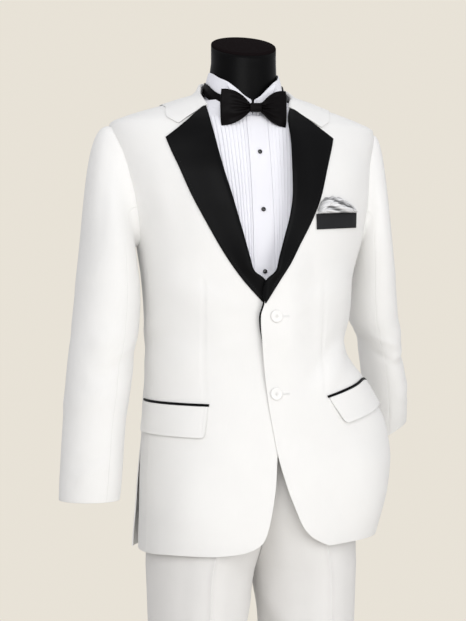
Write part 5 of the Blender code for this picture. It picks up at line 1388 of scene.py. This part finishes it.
for hand, side in SIDES:
    heights = roll_height + (LAPEL.at(side + "_height", along) - roll_height) * share
    roll_x = EDGE.at(side, roll_height)
    x = roll_x + (LAPEL.at(side + "_edge", along) - roll_x) * share - hand * ROLL["past"] * turned_in
    turns = turn_at_x(JACKET, x, heights)
    cloth(
        f"satin_lapel_{side}", wall(front_point, hand, turns, heights, inside=distance, thick=SATIN),
        lapel_satin, "laid", [f"dinner_jacket_front_{side}"], f"lapel_{side}",
        soft=(SEWN_EDGE, 0.0009, SEWN_EDGE, 0.0009),
    )
    run = np.linspace(0.06, 0.985, 200)
    x, height = inset(LAPEL.at(side + "_edge", run), LAPEL.at(side + "_height", run), -hand * PICKED)
    lapel_thread.append(front_point(hand, turn_at_x(JACKET, x, height), height, LAPEL_BODY + SATIN))
stitched("lapel_stitching", "black_satin", black_thread, lapel_thread, 0.0050, 0.0020, 0.0004)

# The satin facing inside the left front shows as a dark line along its edge under the break. It is partly the
# real facing and partly painted shadow: a dark sheet that stands for the shade in the gap under that edge.
FACING_AND_SHADOW = {
    "low": 1.0950, "high": 1.1715, "deep": 0.0125, "past": 0.0032, "held_in": 0.0008, "under": 0.0011,
    "wall": 0.0008,
}
up, aside = spread(60, 0.01)[:, None], spread(16, 0.03)
heights = FACING_AND_SHADOW["low"] + (FACING_AND_SHADOW["high"] - FACING_AND_SHADOW["low"]) * up
shown = FACING_AND_SHADOW["past"] * ramp(up, 0.0, 0.65) - FACING_AND_SHADOW["held_in"]
turns = turn_at_x(JACKET, EDGE.at("left", heights) - shown + (FACING_AND_SHADOW["deep"] + shown) * aside, heights)
# A dark sheet under the left front's edge: partly the real facing, partly painted shadow.
cloth(
    "satin_front_facing",
    wall(front_point, 1, turns, heights, inside=-SUITING - FACING_AND_SHADOW["under"], thick=FACING_AND_SHADOW["wall"]),
    lapel_satin, "laid", ["dinner_jacket_front_left"],
)

# The jacket's collar: white wool over felt. It stands round the neck, folds over, and its fall ends in the
# notch above each lapel.
COLLAR = Table(
    "share fold_height right_fold left_fold edge_height right_edge left_edge notch",
    (0.00, 1.5350, 180, 180, 1.4860, 180, 180, 0.0),
    (0.22, 1.5345, 150, 150, 1.4860, 152, 152, 0.0),
    (0.42, 1.5305, 118, 118, 1.4870, 120, 120, 0.0),
    (0.56, 1.5200, 93, 93, 1.4880, 99, 99, 0.0),
    (0.70, 1.5065, 77, 73, 1.4880, 86, 85, 0.0),
    (0.77, 1.5010, 69.5, 63.5, 1.4850, 81, 79, 0.0),
    (0.84, 1.4965, 63.5, 55.5, 1.4810, 76, 74, 0.0),
    (0.93, 1.4895, 57.5, 49.0, 1.4710, 71, 67, 0.0),
    (1.00, 1.4850, 54, 45.5, 1.4625, 67.4, 62.5, 0.0190),
)
NOTCH = {"share": 0.66, "turn": 2.6}
COLLAR_SECTION = Table(
    "share out up",
    (0.00, -0.0014, 1.00),
    (0.18, -0.0014, 0.45),
    (0.30, -0.0010, 0.10),
    (0.37, 0.0012, 0.00),
    (0.45, 0.0032, 0.07),
    (0.70, 0.0030, 0.50),
    (0.84, 0.0021, 0.74),
    (1.00, 0.0013, 1.00),
)
NECKLINE = 1.5060


def collar_point(u, v):
    """The middle of the collar's cloth: u from its stand's foot to its free edge, v from right to left."""
    u, v = np.broadcast_arrays(np.asarray(u, dtype=float), np.asarray(v, dtype=float))
    hand = np.where(v < 0.5, -1, 1)
    share = np.abs(2 * v - 1)
    out, run = COLLAR_SECTION.at("out", u), COLLAR_SECTION.at("up", u)
    fold_height = COLLAR.at("fold_height", share)
    fold_turn = hand * np.where(v < 0.5, COLLAR.at("right_fold", share), COLLAR.at("left_fold", share))
    edge_turn = hand * np.where(v < 0.5, COLLAR.at("right_edge", share), COLLAR.at("left_edge", share))
    foot = np.minimum(NECKLINE, fold_height - 0.0030)
    cut = np.minimum(run / NOTCH["share"], (1 - run) / (1 - NOTCH["share"])) * COLLAR.at("notch", share)
    fall = fold_height + (COLLAR.at("edge_height", share) - fold_height) * run - cut
    fall_turn = fold_turn + (edge_turn - fold_turn) * run - hand * NOTCH["turn"] * cut / 0.0190
    stands = u < 0.37
    height = np.where(stands, fold_height + (foot - fold_height) * run, fall)
    return off(jacket, np.where(stands, fold_turn, fall_turn), height, out)


collar_v = np.unique(np.concatenate((spread(130, 0.0022), np.linspace(0, 0.5, 25), np.linspace(0.5, 1, 25))))
collar_u = np.unique(np.round(np.concatenate((spread(40, 0.012), np.linspace(0.30, 0.47, 12))), 6))
v, u = np.broadcast_arrays(collar_v[:, None], collar_u)
half_wall = SUITING / 2 * (1 - 0.4 * ramp(u, 0.7, 1.0))[..., None]
half_wall = outward(collar_point, u, np.clip(v, 0.006, 0.994), 0.01, 0.004) * half_wall
middle = collar_point(u, v)
cloth(
    "dinner_jacket_collar", (middle + half_wall, middle - half_wall), suiting, "folded",
    ["dinner_jacket_back_left", "dinner_jacket_back_right"], "jacket_collar",
    soft=(SEWN_EDGE, FREE_EDGE, FREE_EDGE, FREE_EDGE),
)

# ---------------------------------------------------------------------------------------------------------
# The sleeves: two-piece, of the jacket's wool, set into the armholes over a light roll of wadding. The right
# arm hangs almost straight. The left one bends out and back, as when the hand rests in the hip pocket.
ARM = "share height x y across deep back_up out_up"
ARMS = {
    -1: Table(
        ARM,
        (0.00, 1.240, 0.2260, 0.000, 0.0460, 0.070, 0, 0),
        (0.13, 1.190, 0.2265, -0.004, 0.0515, 0.068, 0, 0),
        (0.29, 1.127, 0.2315, -0.007, 0.0535, 0.065, 0, 0),
        (0.45, 1.068, 0.2395, -0.010, 0.0525, 0.062, 0, 0),
        (0.58, 1.016, 0.2460, -0.013, 0.0510, 0.060, 0, 0),
        (0.67, 0.984, 0.2500, -0.016, 0.0495, 0.057, 0, 0),
        (0.91, 0.892, 0.2575, -0.024, 0.0490, 0.052, 0, 0),
        (1.00, 0.860, 0.2600, -0.026, 0.0480, 0.050, 0, 0),
    ),
    1: Table(
        ARM,
        (0.00, 1.240, 0.2320, 0.030, 0.0370, 0.070, 4, 0),
        (0.30, 1.155, 0.2460, 0.052, 0.0400, 0.067, 12, 2),
        (0.56, 1.088, 0.2735, 0.085, 0.0345, 0.066, 18, 4),
        (0.84, 1.001, 0.2980, 0.124, 0.0345, 0.060, 10, 12),
        (1.00, 0.940, 0.3090, 0.148, 0.0390, 0.055, -8, 32),
    ),
}
CAP_SHARE = 0.30
CAP = Table(
    "turn right left up hang",
    (0, 0.041, 0.024, 0.008, 0.100),
    (90, 0.024, 0.018, 0.000, 0.070),
    (180, 0.009, 0.006, -0.002, 0.014),
)
SLEEVE_SEAMS = {"front": 112, "back": 252}
SLEEVE_GIRTH = 0.055
SLEEVE_RUN = 0.385
SLEEVE_FOLDS = {
    -1: (
        (60, 0.36, 110, 0.30, 0.018, 0.0030),
        (70, 0.48, 120, 0.42, 0.018, -0.0030),
        (200, 0.34, 120, 0.44, 0.018, -0.0030),
        (30, 0.60, 100, 0.54, 0.018, 0.0025),
    ),
    1: (
        (-10, 0.36, 70, 0.42, 0.018, 0.0025),
        (-10, 0.52, 80, 0.60, 0.018, -0.0030),
        (150, 0.44, 240, 0.52, 0.018, -0.0030),
        (0, 0.72, 90, 0.78, 0.018, 0.0025),
    ),
}
SLEEVE_CREASES = {
    -1: (
        (55, 0.90, 100, 0.84, 0.008, 0.0014),
        (40, 0.84, 95, 0.80, 0.009, -0.0012),
        (80, 0.44, 130, 0.36, 0.009, 0.0016),
        (100, 0.52, 150, 0.47, 0.009, -0.0016),
        (250, 0.40, 200, 0.48, 0.010, 0.0016),
        (20, 0.10, 70, 0.03, 0.012, 0.0012),
        (-40, 0.55, 10, 0.62, 0.012, 0.0010),
        (-60, 0.38, -10, 0.30, 0.014, -0.0012),
    ),
    1: (
        (60, 0.46, 130, 0.40, 0.008, 0.0020),
        (70, 0.58, 140, 0.50, 0.008, -0.0020),
        (40, 0.50, 110, 0.56, 0.009, 0.0016),
        (160, 0.46, 230, 0.40, 0.010, -0.0018),
        (-60, 0.55, -10, 0.48, 0.012, 0.0016),
        (-70, 0.64, 0, 0.66, 0.010, -0.0014),
        (20, 0.86, 80, 0.80, 0.009, 0.0014),
        (-30, 0.12, 40, 0.05, 0.012, 0.0012),
    ),
}


def along_arm(folds):
    """Folds whose places are shares of the arm, with those places in metres along it."""
    return [
        (turn, low * SLEEVE_RUN, to_turn, high * SLEEVE_RUN, *size)
        for turn, low, to_turn, high, *size in folds
    ]


def arm_point(hand, turn, share):
    """A level's point on a sleeve: turn 0 is outermost, 90 in front, 180 next to the body."""
    arm, angle = ARMS[hand], np.radians(turn)
    back_up, out_up = np.radians(arm.at("back_up", share)), np.radians(arm.at("out_up", share))
    none = 0 * out_up
    aside = np.stack((hand * np.cos(out_up), none, np.sin(out_up)), axis=-1)
    behind = np.stack((none, np.cos(back_up), np.sin(back_up)), axis=-1)
    middle = np.stack((hand * arm.at("x", share), arm.at("y", share), arm.at("height", share)), axis=-1)
    folds = along_arm(SLEEVE_FOLDS[hand] + SLEEVE_CREASES[hand])
    wrapped = (turn + 120) % 360 - 120
    other_way = wrapped + np.where(wrapped > 60, -360, 360)
    rise = fold_rise(folds, wrapped, share * SLEEVE_RUN, SLEEVE_GIRTH)
    rise = rise + fold_rise(folds, other_way, share * SLEEVE_RUN, SLEEVE_GIRTH)
    across, deep = arm.at("across", share) + rise, arm.at("deep", share) + rise
    return middle + aside * (across * np.cos(angle))[..., None] - behind * (deep * np.sin(angle))[..., None]


def armhole_point(hand, turn):
    """The sleeve's start, just inside the armhole's edge."""
    sine, cosine = np.sin(np.radians(turn)), np.cos(np.radians(turn))
    height = ARMHOLE_MIDDLE + ARMHOLE_HALF * cosine
    y = -sine * np.where(sine > 0, ARMHOLE["front"], ARMHOLE["back"])
    edge = jacket(turn_at_y(JACKET, y, height, hand), height)
    towards = unit(points_at(edge[..., 0], 0.0, ARMHOLE_MIDDLE) - edge)
    return edge + towards * 0.0003 - np.array((hand * 0.0012, 0.0, 0.0))


def sleeve_point(hand, turn, v):
    """A sleeve's outer face: v runs from the armhole over the cap to the cuff, and turn as in arm_point."""
    turn, v = arrays(turn, v)
    arm = arm_point(hand, turn, np.maximum(v - CAP_SHARE, 0.0) / (1 - CAP_SHARE))
    share = (np.clip(v, 0.0, CAP_SHARE) / CAP_SHARE)[..., None]
    away = np.abs((turn + 180) % 360 - 180)
    start, end = armhole_point(hand, turn), arm_point(hand, turn, 0 * v)
    out, up = CAP.at("right" if hand < 0 else "left", away), CAP.at("up", away)
    leave = start + points_at(hand * out, 0.0, up)
    arrive = end + unit(end - arm_point(hand, turn, 0 * v + 0.03)) * CAP.at("hang", away)[..., None]
    left = 1 - share
    cap = start * left**3 + leave * 3 * left**2 * share + arrive * 3 * left * share**2 + end * share**3
    return np.where((v >= CAP_SHARE)[..., None], arm, cap)


sleeve_rows = np.unique(np.concatenate((spread(96, 0.0022), np.linspace(0, CAP_SHARE, 44))))[:, None]
for hand, side in SIDES:
    sleeve = partial(sleeve_point, hand)
    for part, start, end, columns in (
        ("top", SLEEVE_SEAMS["back"] - 360, SLEEVE_SEAMS["front"], 72),
        ("under", SLEEVE_SEAMS["front"], SLEEVE_SEAMS["back"], 44),
    ):
        start = start + seam_turns(sleeve, start, sleeve_rows)
        end = end - seam_turns(sleeve, end, sleeve_rows)
        turns = start + (end - start) * spread(columns, 0.004)
        normal = outward(sleeve, turns, np.clip(sleeve_rows, 0.006, 0.994), 1.0, 0.005) * hand
        face = sleeve(turns, sleeve_rows)
        cloth(
            f"dinner_jacket_sleeve_{part}_{side}", (face, face - normal * SUITING), suiting, "hung",
            [f"dinner_jacket_front_{side}"], f"sleeve_{part}_{side}",
            soft=(SEWN_EDGE, SEWN_EDGE, SEWN_EDGE, FREE_EDGE),
        )

# The hip pockets: each is piped with one narrow jet of black satin, and a rounded flap of the jacket's wool
# hangs from under it. The left flap tips with the front, which the hidden hand carries out.
FLAPS = {
    -1: {
        "x": -0.0910, "height": 1.0130, "tilt": 1.5, "length": 0.148, "drop": 0.053,
        "lean": 0.002, "sag": 0.0,
    },
    1: {
        "x": 0.1020, "height": 1.0240, "tilt": 13.5, "length": 0.140, "drop": 0.050,
        "lean": 0.014, "sag": 5.5,
    },
}
FLAP_CORNER = 0.006
FLAP_LIFT = 0.0020
SAG_START = 0.092
JET = {"drop": 0.0040, "wall": 0.0011, "past": 0.002}
ON_PANEL = 0.0007


def on_cloth(surface, start, tilt, right, down, out):
    """A point set off from a start (turn, height): right and down along the cloth, then out from it."""
    right, down, out = arrays(right, down, out)
    slope = np.radians(tilt)
    aside = right * np.cos(slope) + down * np.sin(slope)
    drop = down * np.cos(slope) - right * np.sin(slope)
    turn, height = start[0] + 0 * aside, start[1] + 0 * aside
    steps = 5
    for _ in range(steps):
        turn = turn + seam_turns(surface, turn, height, aside / steps)
    return off(surface, turn, height - drop, out)


def rounded_drop(aside, length, drop, corner):
    """How far a flap hangs at a distance along its length, with both of its lower corners rounded."""
    inside = np.clip(corner - np.minimum(aside, length - aside), 0.0, corner)
    return drop - corner + np.sqrt(corner**2 - inside**2)


for hand, side in SIDES:
    flap = FLAPS[hand]
    start = turn_at_x(JACKET, flap["x"], flap["height"]), flap["height"]

    def side_ways(aside, down, out):
        """A point on the front, along the pocket's mouth and down from it."""
        sheared = aside + flap["lean"] * down / flap["drop"]
        sag = flap["sag"] * np.maximum(aside - SAG_START, 0.0) ** 2
        front = partial(front_point, hand)
        return on_cloth(front, start, hand * flap["tilt"], hand * sheared, down + sag, out)

    def hung(aside, down):
        """How far the flap's cloth stands off, down running from 0 at its top to 1 at its foot."""
        return ON_PANEL + FLAP_LIFT * down + 0.0008 * np.sin(aside * 46 + 0.8) * down**2

    down, aside = JET["drop"] * spread(12, 0.03)[:, None], spread(60, 0.004)
    aside = (flap["length"] + 2 * JET["past"]) * aside - JET["past"]
    piped = JET["wall"] + 0.0006 * np.sin(np.pi * down / JET["drop"])
    jet = shell(f"satin_jet_{side}", *wall(side_ways, aside, down, inside=ON_PANEL, thick=piped), lapel_satin)
    width, length, area = CUTS[jet.name]
    CUTS[jet.name] = (width, 2 * length + 0.004, area)  # the strip is folded in two, with its edges sewn in
    sewn(jet, "laid", [f"dinner_jacket_front_{side}"], f"pocket_jet_{side}")

    down = spread(30, 0.010)[:, None]
    ends = FLAP_CORNER / flap["length"] * (1 - np.cos(np.linspace(0, np.pi / 2, 14)[1:]))
    aside = np.unique(np.concatenate((spread(40, 0.003), ends, 1 - ends))) * flap["length"]
    top = JET["drop"] + SEAM
    drop = rounded_drop(aside, flap["length"], flap["drop"], FLAP_CORNER)
    from_edge = np.minimum(np.minimum(aside, flap["length"] - aside), (drop - top) * (1 - down))
    pressed = SUITING * 0.8 - 0.00035 * np.exp(-(((from_edge - PICKED) / 0.0008) ** 2))
    cloth(
        f"pocket_flap_cloth_{side}",
        wall(side_ways, aside, top + (drop - top) * down, inside=hung(aside, down), thick=pressed),
        suiting, "hung", [f"satin_jet_{side}"], f"pocket_flap_{side}",
        soft=(0.0008, 0.0008, 0.0008, SEWN_EDGE),
    )
    near, far, foot = PICKED, flap["length"] - PICKED, flap["drop"] - PICKED
    aside = np.concatenate((np.full(30, near), np.linspace(near, far, 90)[1:-1], np.full(30, far)))
    drop = np.concatenate((np.linspace(top, foot, 30), np.full(88, foot), np.linspace(foot, top, 30)))
    out = hung(aside, (drop - top) / (flap["drop"] - top)) + SUITING * 0.8
    jacket_thread.append(side_ways(aside, drop, out - 0.0003))
stitched("jacket_stitching", "white_suiting", white_thread, jacket_thread, 0.0050, 0.0022, 0.0005)

# The breast pocket's satin welt, and the silver silk square, puffed and folded into it.
WELT = {
    "x": 0.0836, "height": 1.2855, "tilt": 4, "length": 0.0925, "rise": 0.0245, "wall": 0.0022,
    "lean": 0.0024,
}
SQUARE = Table(
    "share rise puff",
    (0.00, 0.0060, 0.0015),
    (0.05, 0.0130, 0.0045),
    (0.12, 0.0205, 0.0080),
    (0.25, 0.0250, 0.0100),
    (0.40, 0.0262, 0.0105),
    (0.52, 0.0250, 0.0095),
    (0.66, 0.0205, 0.0085),
    (0.80, 0.0150, 0.0070),
    (0.87, 0.0105, 0.0055),
    (0.93, 0.0080, 0.0040),
    (1.00, 0.0030, 0.0012),
)
# Its folds sweep down to the wearer's left: where each lies (0 to 1 across, 0 to 1 up), its width, its rise.
SQUARE_FOLDS = (
    (0.02, 0.10, 0.30, 0.95, 0.060, 0.0022),
    (0.08, 0.60, 0.78, 0.18, 0.085, 0.0030),
    (0.16, 0.92, 0.86, 0.42, 0.075, -0.0026),
    (0.14, 0.34, 0.70, 0.02, 0.070, -0.0028),
    (0.10, 0.16, 0.44, 0.04, 0.060, 0.0024),
    (0.30, 1.05, 0.80, 0.66, 0.060, 0.0026),
    (0.36, 0.66, 0.62, 0.52, 0.040, -0.0020),
    (0.60, 0.40, 0.98, 0.10, 0.050, 0.0024),
    (0.72, 0.50, 0.86, 0.20, 0.035, -0.0026),
    (0.82, 0.80, 0.92, 0.10, 0.035, 0.0022),
)


left_front = partial(front_point, 1)
welt_start = turn_at_x(JACKET, WELT["x"], WELT["height"]), WELT["height"]
on_welt = partial(on_cloth, left_front, welt_start, WELT["tilt"])
up, aside = spread(20, 0.02)[:, None], spread(60, 0.006)
from_edge = np.minimum(np.minimum(aside, 1 - aside) * WELT["length"], np.minimum(up, 1 - up) * WELT["rise"])
pressed = WELT["wall"] + 0.0003 * ramp(from_edge, 0.0, 0.0025) - 0.0003
across = WELT["length"] * aside - WELT["lean"] * (aside - 0.5) * up
welt_satin = satin("welt_satin", (0.016, 0.016, 0.017), (0.024, 0.024, 0.026), 0.50, 0.06)
cloth(
    "satin_welt", wall(on_welt, across, -WELT["rise"] * up, inside=ON_PANEL, thick=pressed),
    welt_satin, "laid", ["dinner_jacket_front_left"], "breast_welt", soft=(0.0008,) * 4,
)

# The square is puffed, so its folds run out of the pocket unevenly. Its colour carries painted shade and
# painted light: dark in the folds' hollows, light on their ridges, and darker towards its top edge.
silk, silk_tree, silk_shader = shader_of("square_silk", 0.34, Specular_IOR_Level=0.45, Anisotropic=0.4)
# The fold attribute carries the painted shade and painted light of the folds.
depth = add_node(silk_tree, "Attribute", {"attribute_name": "fold"}).outputs["Fac"]
silk_place = add_node(silk_tree, "TexCoord").outputs["Object"]
tone_and_painted_fold_shade = summed(silk_tree, noise(silk_tree, silk_place, 120.0, 4.0), depth, 0.35)
silver = between(silk_tree, tone_and_painted_fold_shade, (0.035, 0.035, 0.037), (0.80, 0.80, 0.81))
silk_tree.links.new(silver, silk_shader.inputs["Base Color"])
up, aside = spread(60, 0.012)[:, None], spread(130, 0.004)
folded = 0.0
for from_x, from_up, to_x, to_up, width, lift in SQUARE_FOLDS:
    run_x, run_y = to_x - from_x, (to_up - from_up) * 0.4
    here_x, here_y = aside - from_x, (up - from_up) * 0.4
    along = (here_x * run_x + here_y * run_y) / (run_x**2 + run_y**2)
    swing = 0.03 * np.sin(along * 5 + from_x * 9)
    beside = (here_x * run_y - here_y * run_x) / np.hypot(run_x, run_y) + swing
    ends = ramp(along, -0.2, 0.2) * (1 - ramp(along, 0.8, 1.2))
    folded = folded + lift * ends * np.exp(-((beside / width) ** 2) * 2.0)
sweep = (up + 0.6 * aside + 0.12 * np.sin(aside * 7)) * 38
folded = folded + 0.0009 * np.sin(sweep) + 0.0005 * np.sin(1.9 * sweep + 2 + 3 * aside)
rise = SQUARE.at("rise", aside) * (1 + 0.03 * np.sin(aside * 37))
puff = SQUARE.at("puff", aside) * (1 - (1.5 * up - 0.5) ** 2 * np.where(up > 0.33, 1.0, 0.3))
thick = np.maximum(0.0012 + puff + folded * ramp(up, 0.0, 0.12) * (1 - ramp(up, 0.9, 1.0)), 0.0008)
raised = -(WELT["rise"] + SEAM + rise * up)
across = WELT["length"] * (0.055 + 0.90 * aside)
faces = wall(on_welt, across, raised, inside=ON_PANEL, thick=thick)
square = shell("silk_square", *faces, silk, (0.0012, 0.0012, 0.0008, 0.0016))
# Painted shade: darker in the folds' hollows and towards the top edge, lighter on their ridges.
painted_fold_shade = np.clip(0.50 + folded / 0.0052, 0.0, 1.0) * (0.55 + 0.45 * ramp(1 - up, 0.0, 0.25))
painted_shade_layer = square.data.attributes.new("fold", "FLOAT", "POINT")
painted_shade_layer.data.foreach_set("value", np.concatenate((painted_fold_shade.ravel(), painted_fold_shade[1:-1, 1:-1].ravel())))
sewn(square, "gathered", ["satin_welt"], "pocket_square")

# ---------------------------------------------------------------------------------------------------------
# The buttons: turned white resin with a rolled rim and a sunken middle, sewn on with crossed white thread,
# which covers the holes. Two close the front, and three stand on each cuff over the sleeve's back seam.
FRONT_BUTTONS = {"upper": 1.1490, "lower": 1.0280}
BUTTON_X = 0.0122
BUTTON = {"radius": 0.0100, "depth": 0.0034}
CUFF_BUTTON = {"radius": 0.0070, "depth": 0.0028, "turn": 262, "first": 0.925, "pitch": 0.042, "off": -0.0004}
BUTTON_SHAPE = (  # each step's share of the radius, and of the depth
    (0.0, 0.0), (0.80, 0.0), (0.96, 0.10), (1.0, 0.25), (0.98, 0.50), (0.92, 0.72),
    (0.84, 0.80), (0.76, 0.78), (0.66, 0.68), (0.55, 0.64), (0.0, 0.62),
)
STRAND = {"levels": 9, "sides": 6, "reach": 0.30, "pitch": 0.045, "radius": 0.026}
resin = painted("button_resin", (0.81, 0.805, 0.79), (0.87, 0.865, 0.85), 140.0, 0.45, Specular_IOR_Level=0.3)
thread = painted("sewing_thread", (0.74, 0.735, 0.72), (0.84, 0.835, 0.82), 900.0, 0.7, 0.00003)


def button_piece(name, node, middle, normal, size):
    """A button with a sunken middle, and three strands of thread each way across it."""
    radius, depth = size["radius"], size["depth"]
    profile = [(share * radius, up * depth) for share, up in BUTTON_SHAPE]
    rigid(turned(name, profile, resin, 48, middle, normal), "white_button", node)
    axis = Vector(normal)
    across = axis.orthogonal().normalized()
    over_way = axis.cross(across)
    points, faces = [], []
    count, last = STRAND["sides"], STRAND["levels"] - 1
    for lean in (1, -1):
        way = (across + over_way * lean).normalized()
        flank = axis.cross(way)
        for strand in (-1, 0, 1):
            first = len(points)
            for step in np.linspace(-1, 1, last + 1):
                rise = depth * (0.60 + 0.24 * np.sqrt(max(1 - step * step, 0.0))) + 0.0001 * lean
                core = Vector(middle) + way * float(step * radius * STRAND["reach"]) + axis * float(rise)
                core += flank * strand * radius * STRAND["pitch"]
                for angle in np.linspace(0, 2 * np.pi, count, endpoint=False):
                    spoke = flank * np.cos(angle) + axis * np.sin(angle)
                    points.append(core + spoke * radius * STRAND["radius"])
            for level in range(last):
                for corner in range(count):
                    here, ahead = first + level * count + corner, first + level * count + (corner + 1) % count
                    faces.append((here, ahead, ahead + count, here + count))
            faces.append(tuple(first + corner for corner in reversed(range(count))))
            faces.append(tuple(first + last * count + corner for corner in range(count)))
    rigid(mesh_piece(name + "_thread", [tuple(point) for point in points], faces, thread), "white_button")


# Each front buttonhole runs in from its button, with purled thread along both of its lips.
hole_thread = []
run = np.linspace(BUTTON_X - 0.0018, BUTTON_X + 0.0215, 60)
for height in FRONT_BUTTONS.values():
    for lip in (height - 0.0009, height + 0.0009):
        hole_thread.append(front_point(1, turn_at_x(JACKET, run, lip), lip, 0.0002))
stitched("buttonhole_purling", "white_suiting", white_thread, hole_thread, 0.0007, 0.0008, 0.0011)

for row, height in FRONT_BUTTONS.items():
    turn = turn_at_x(JACKET, BUTTON_X, height)
    normal = outward(left_front, turn, height)
    point = front_point(1, turn, height, SEAM) + normal * SEAM
    button_piece(f"front_closing_button_{row}", f"front_button_{row}", point, normal, BUTTON)

for hand, side in SIDES:
    sleeve = partial(sleeve_point, hand)
    for row in range(3):
        turn, v = CUFF_BUTTON["turn"], CUFF_BUTTON["first"] - CUFF_BUTTON["pitch"] * row
        normal = outward(sleeve, turn, v, 1.0, 0.005) * hand
        point = sleeve(turn, v) + normal * CUFF_BUTTON["off"]
        button_piece(
            f"cuff_fastening_{side}_{row + 1}", f"cuff_button_{side}_{row + 1}", point, normal, CUFF_BUTTON
        )

low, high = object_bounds()
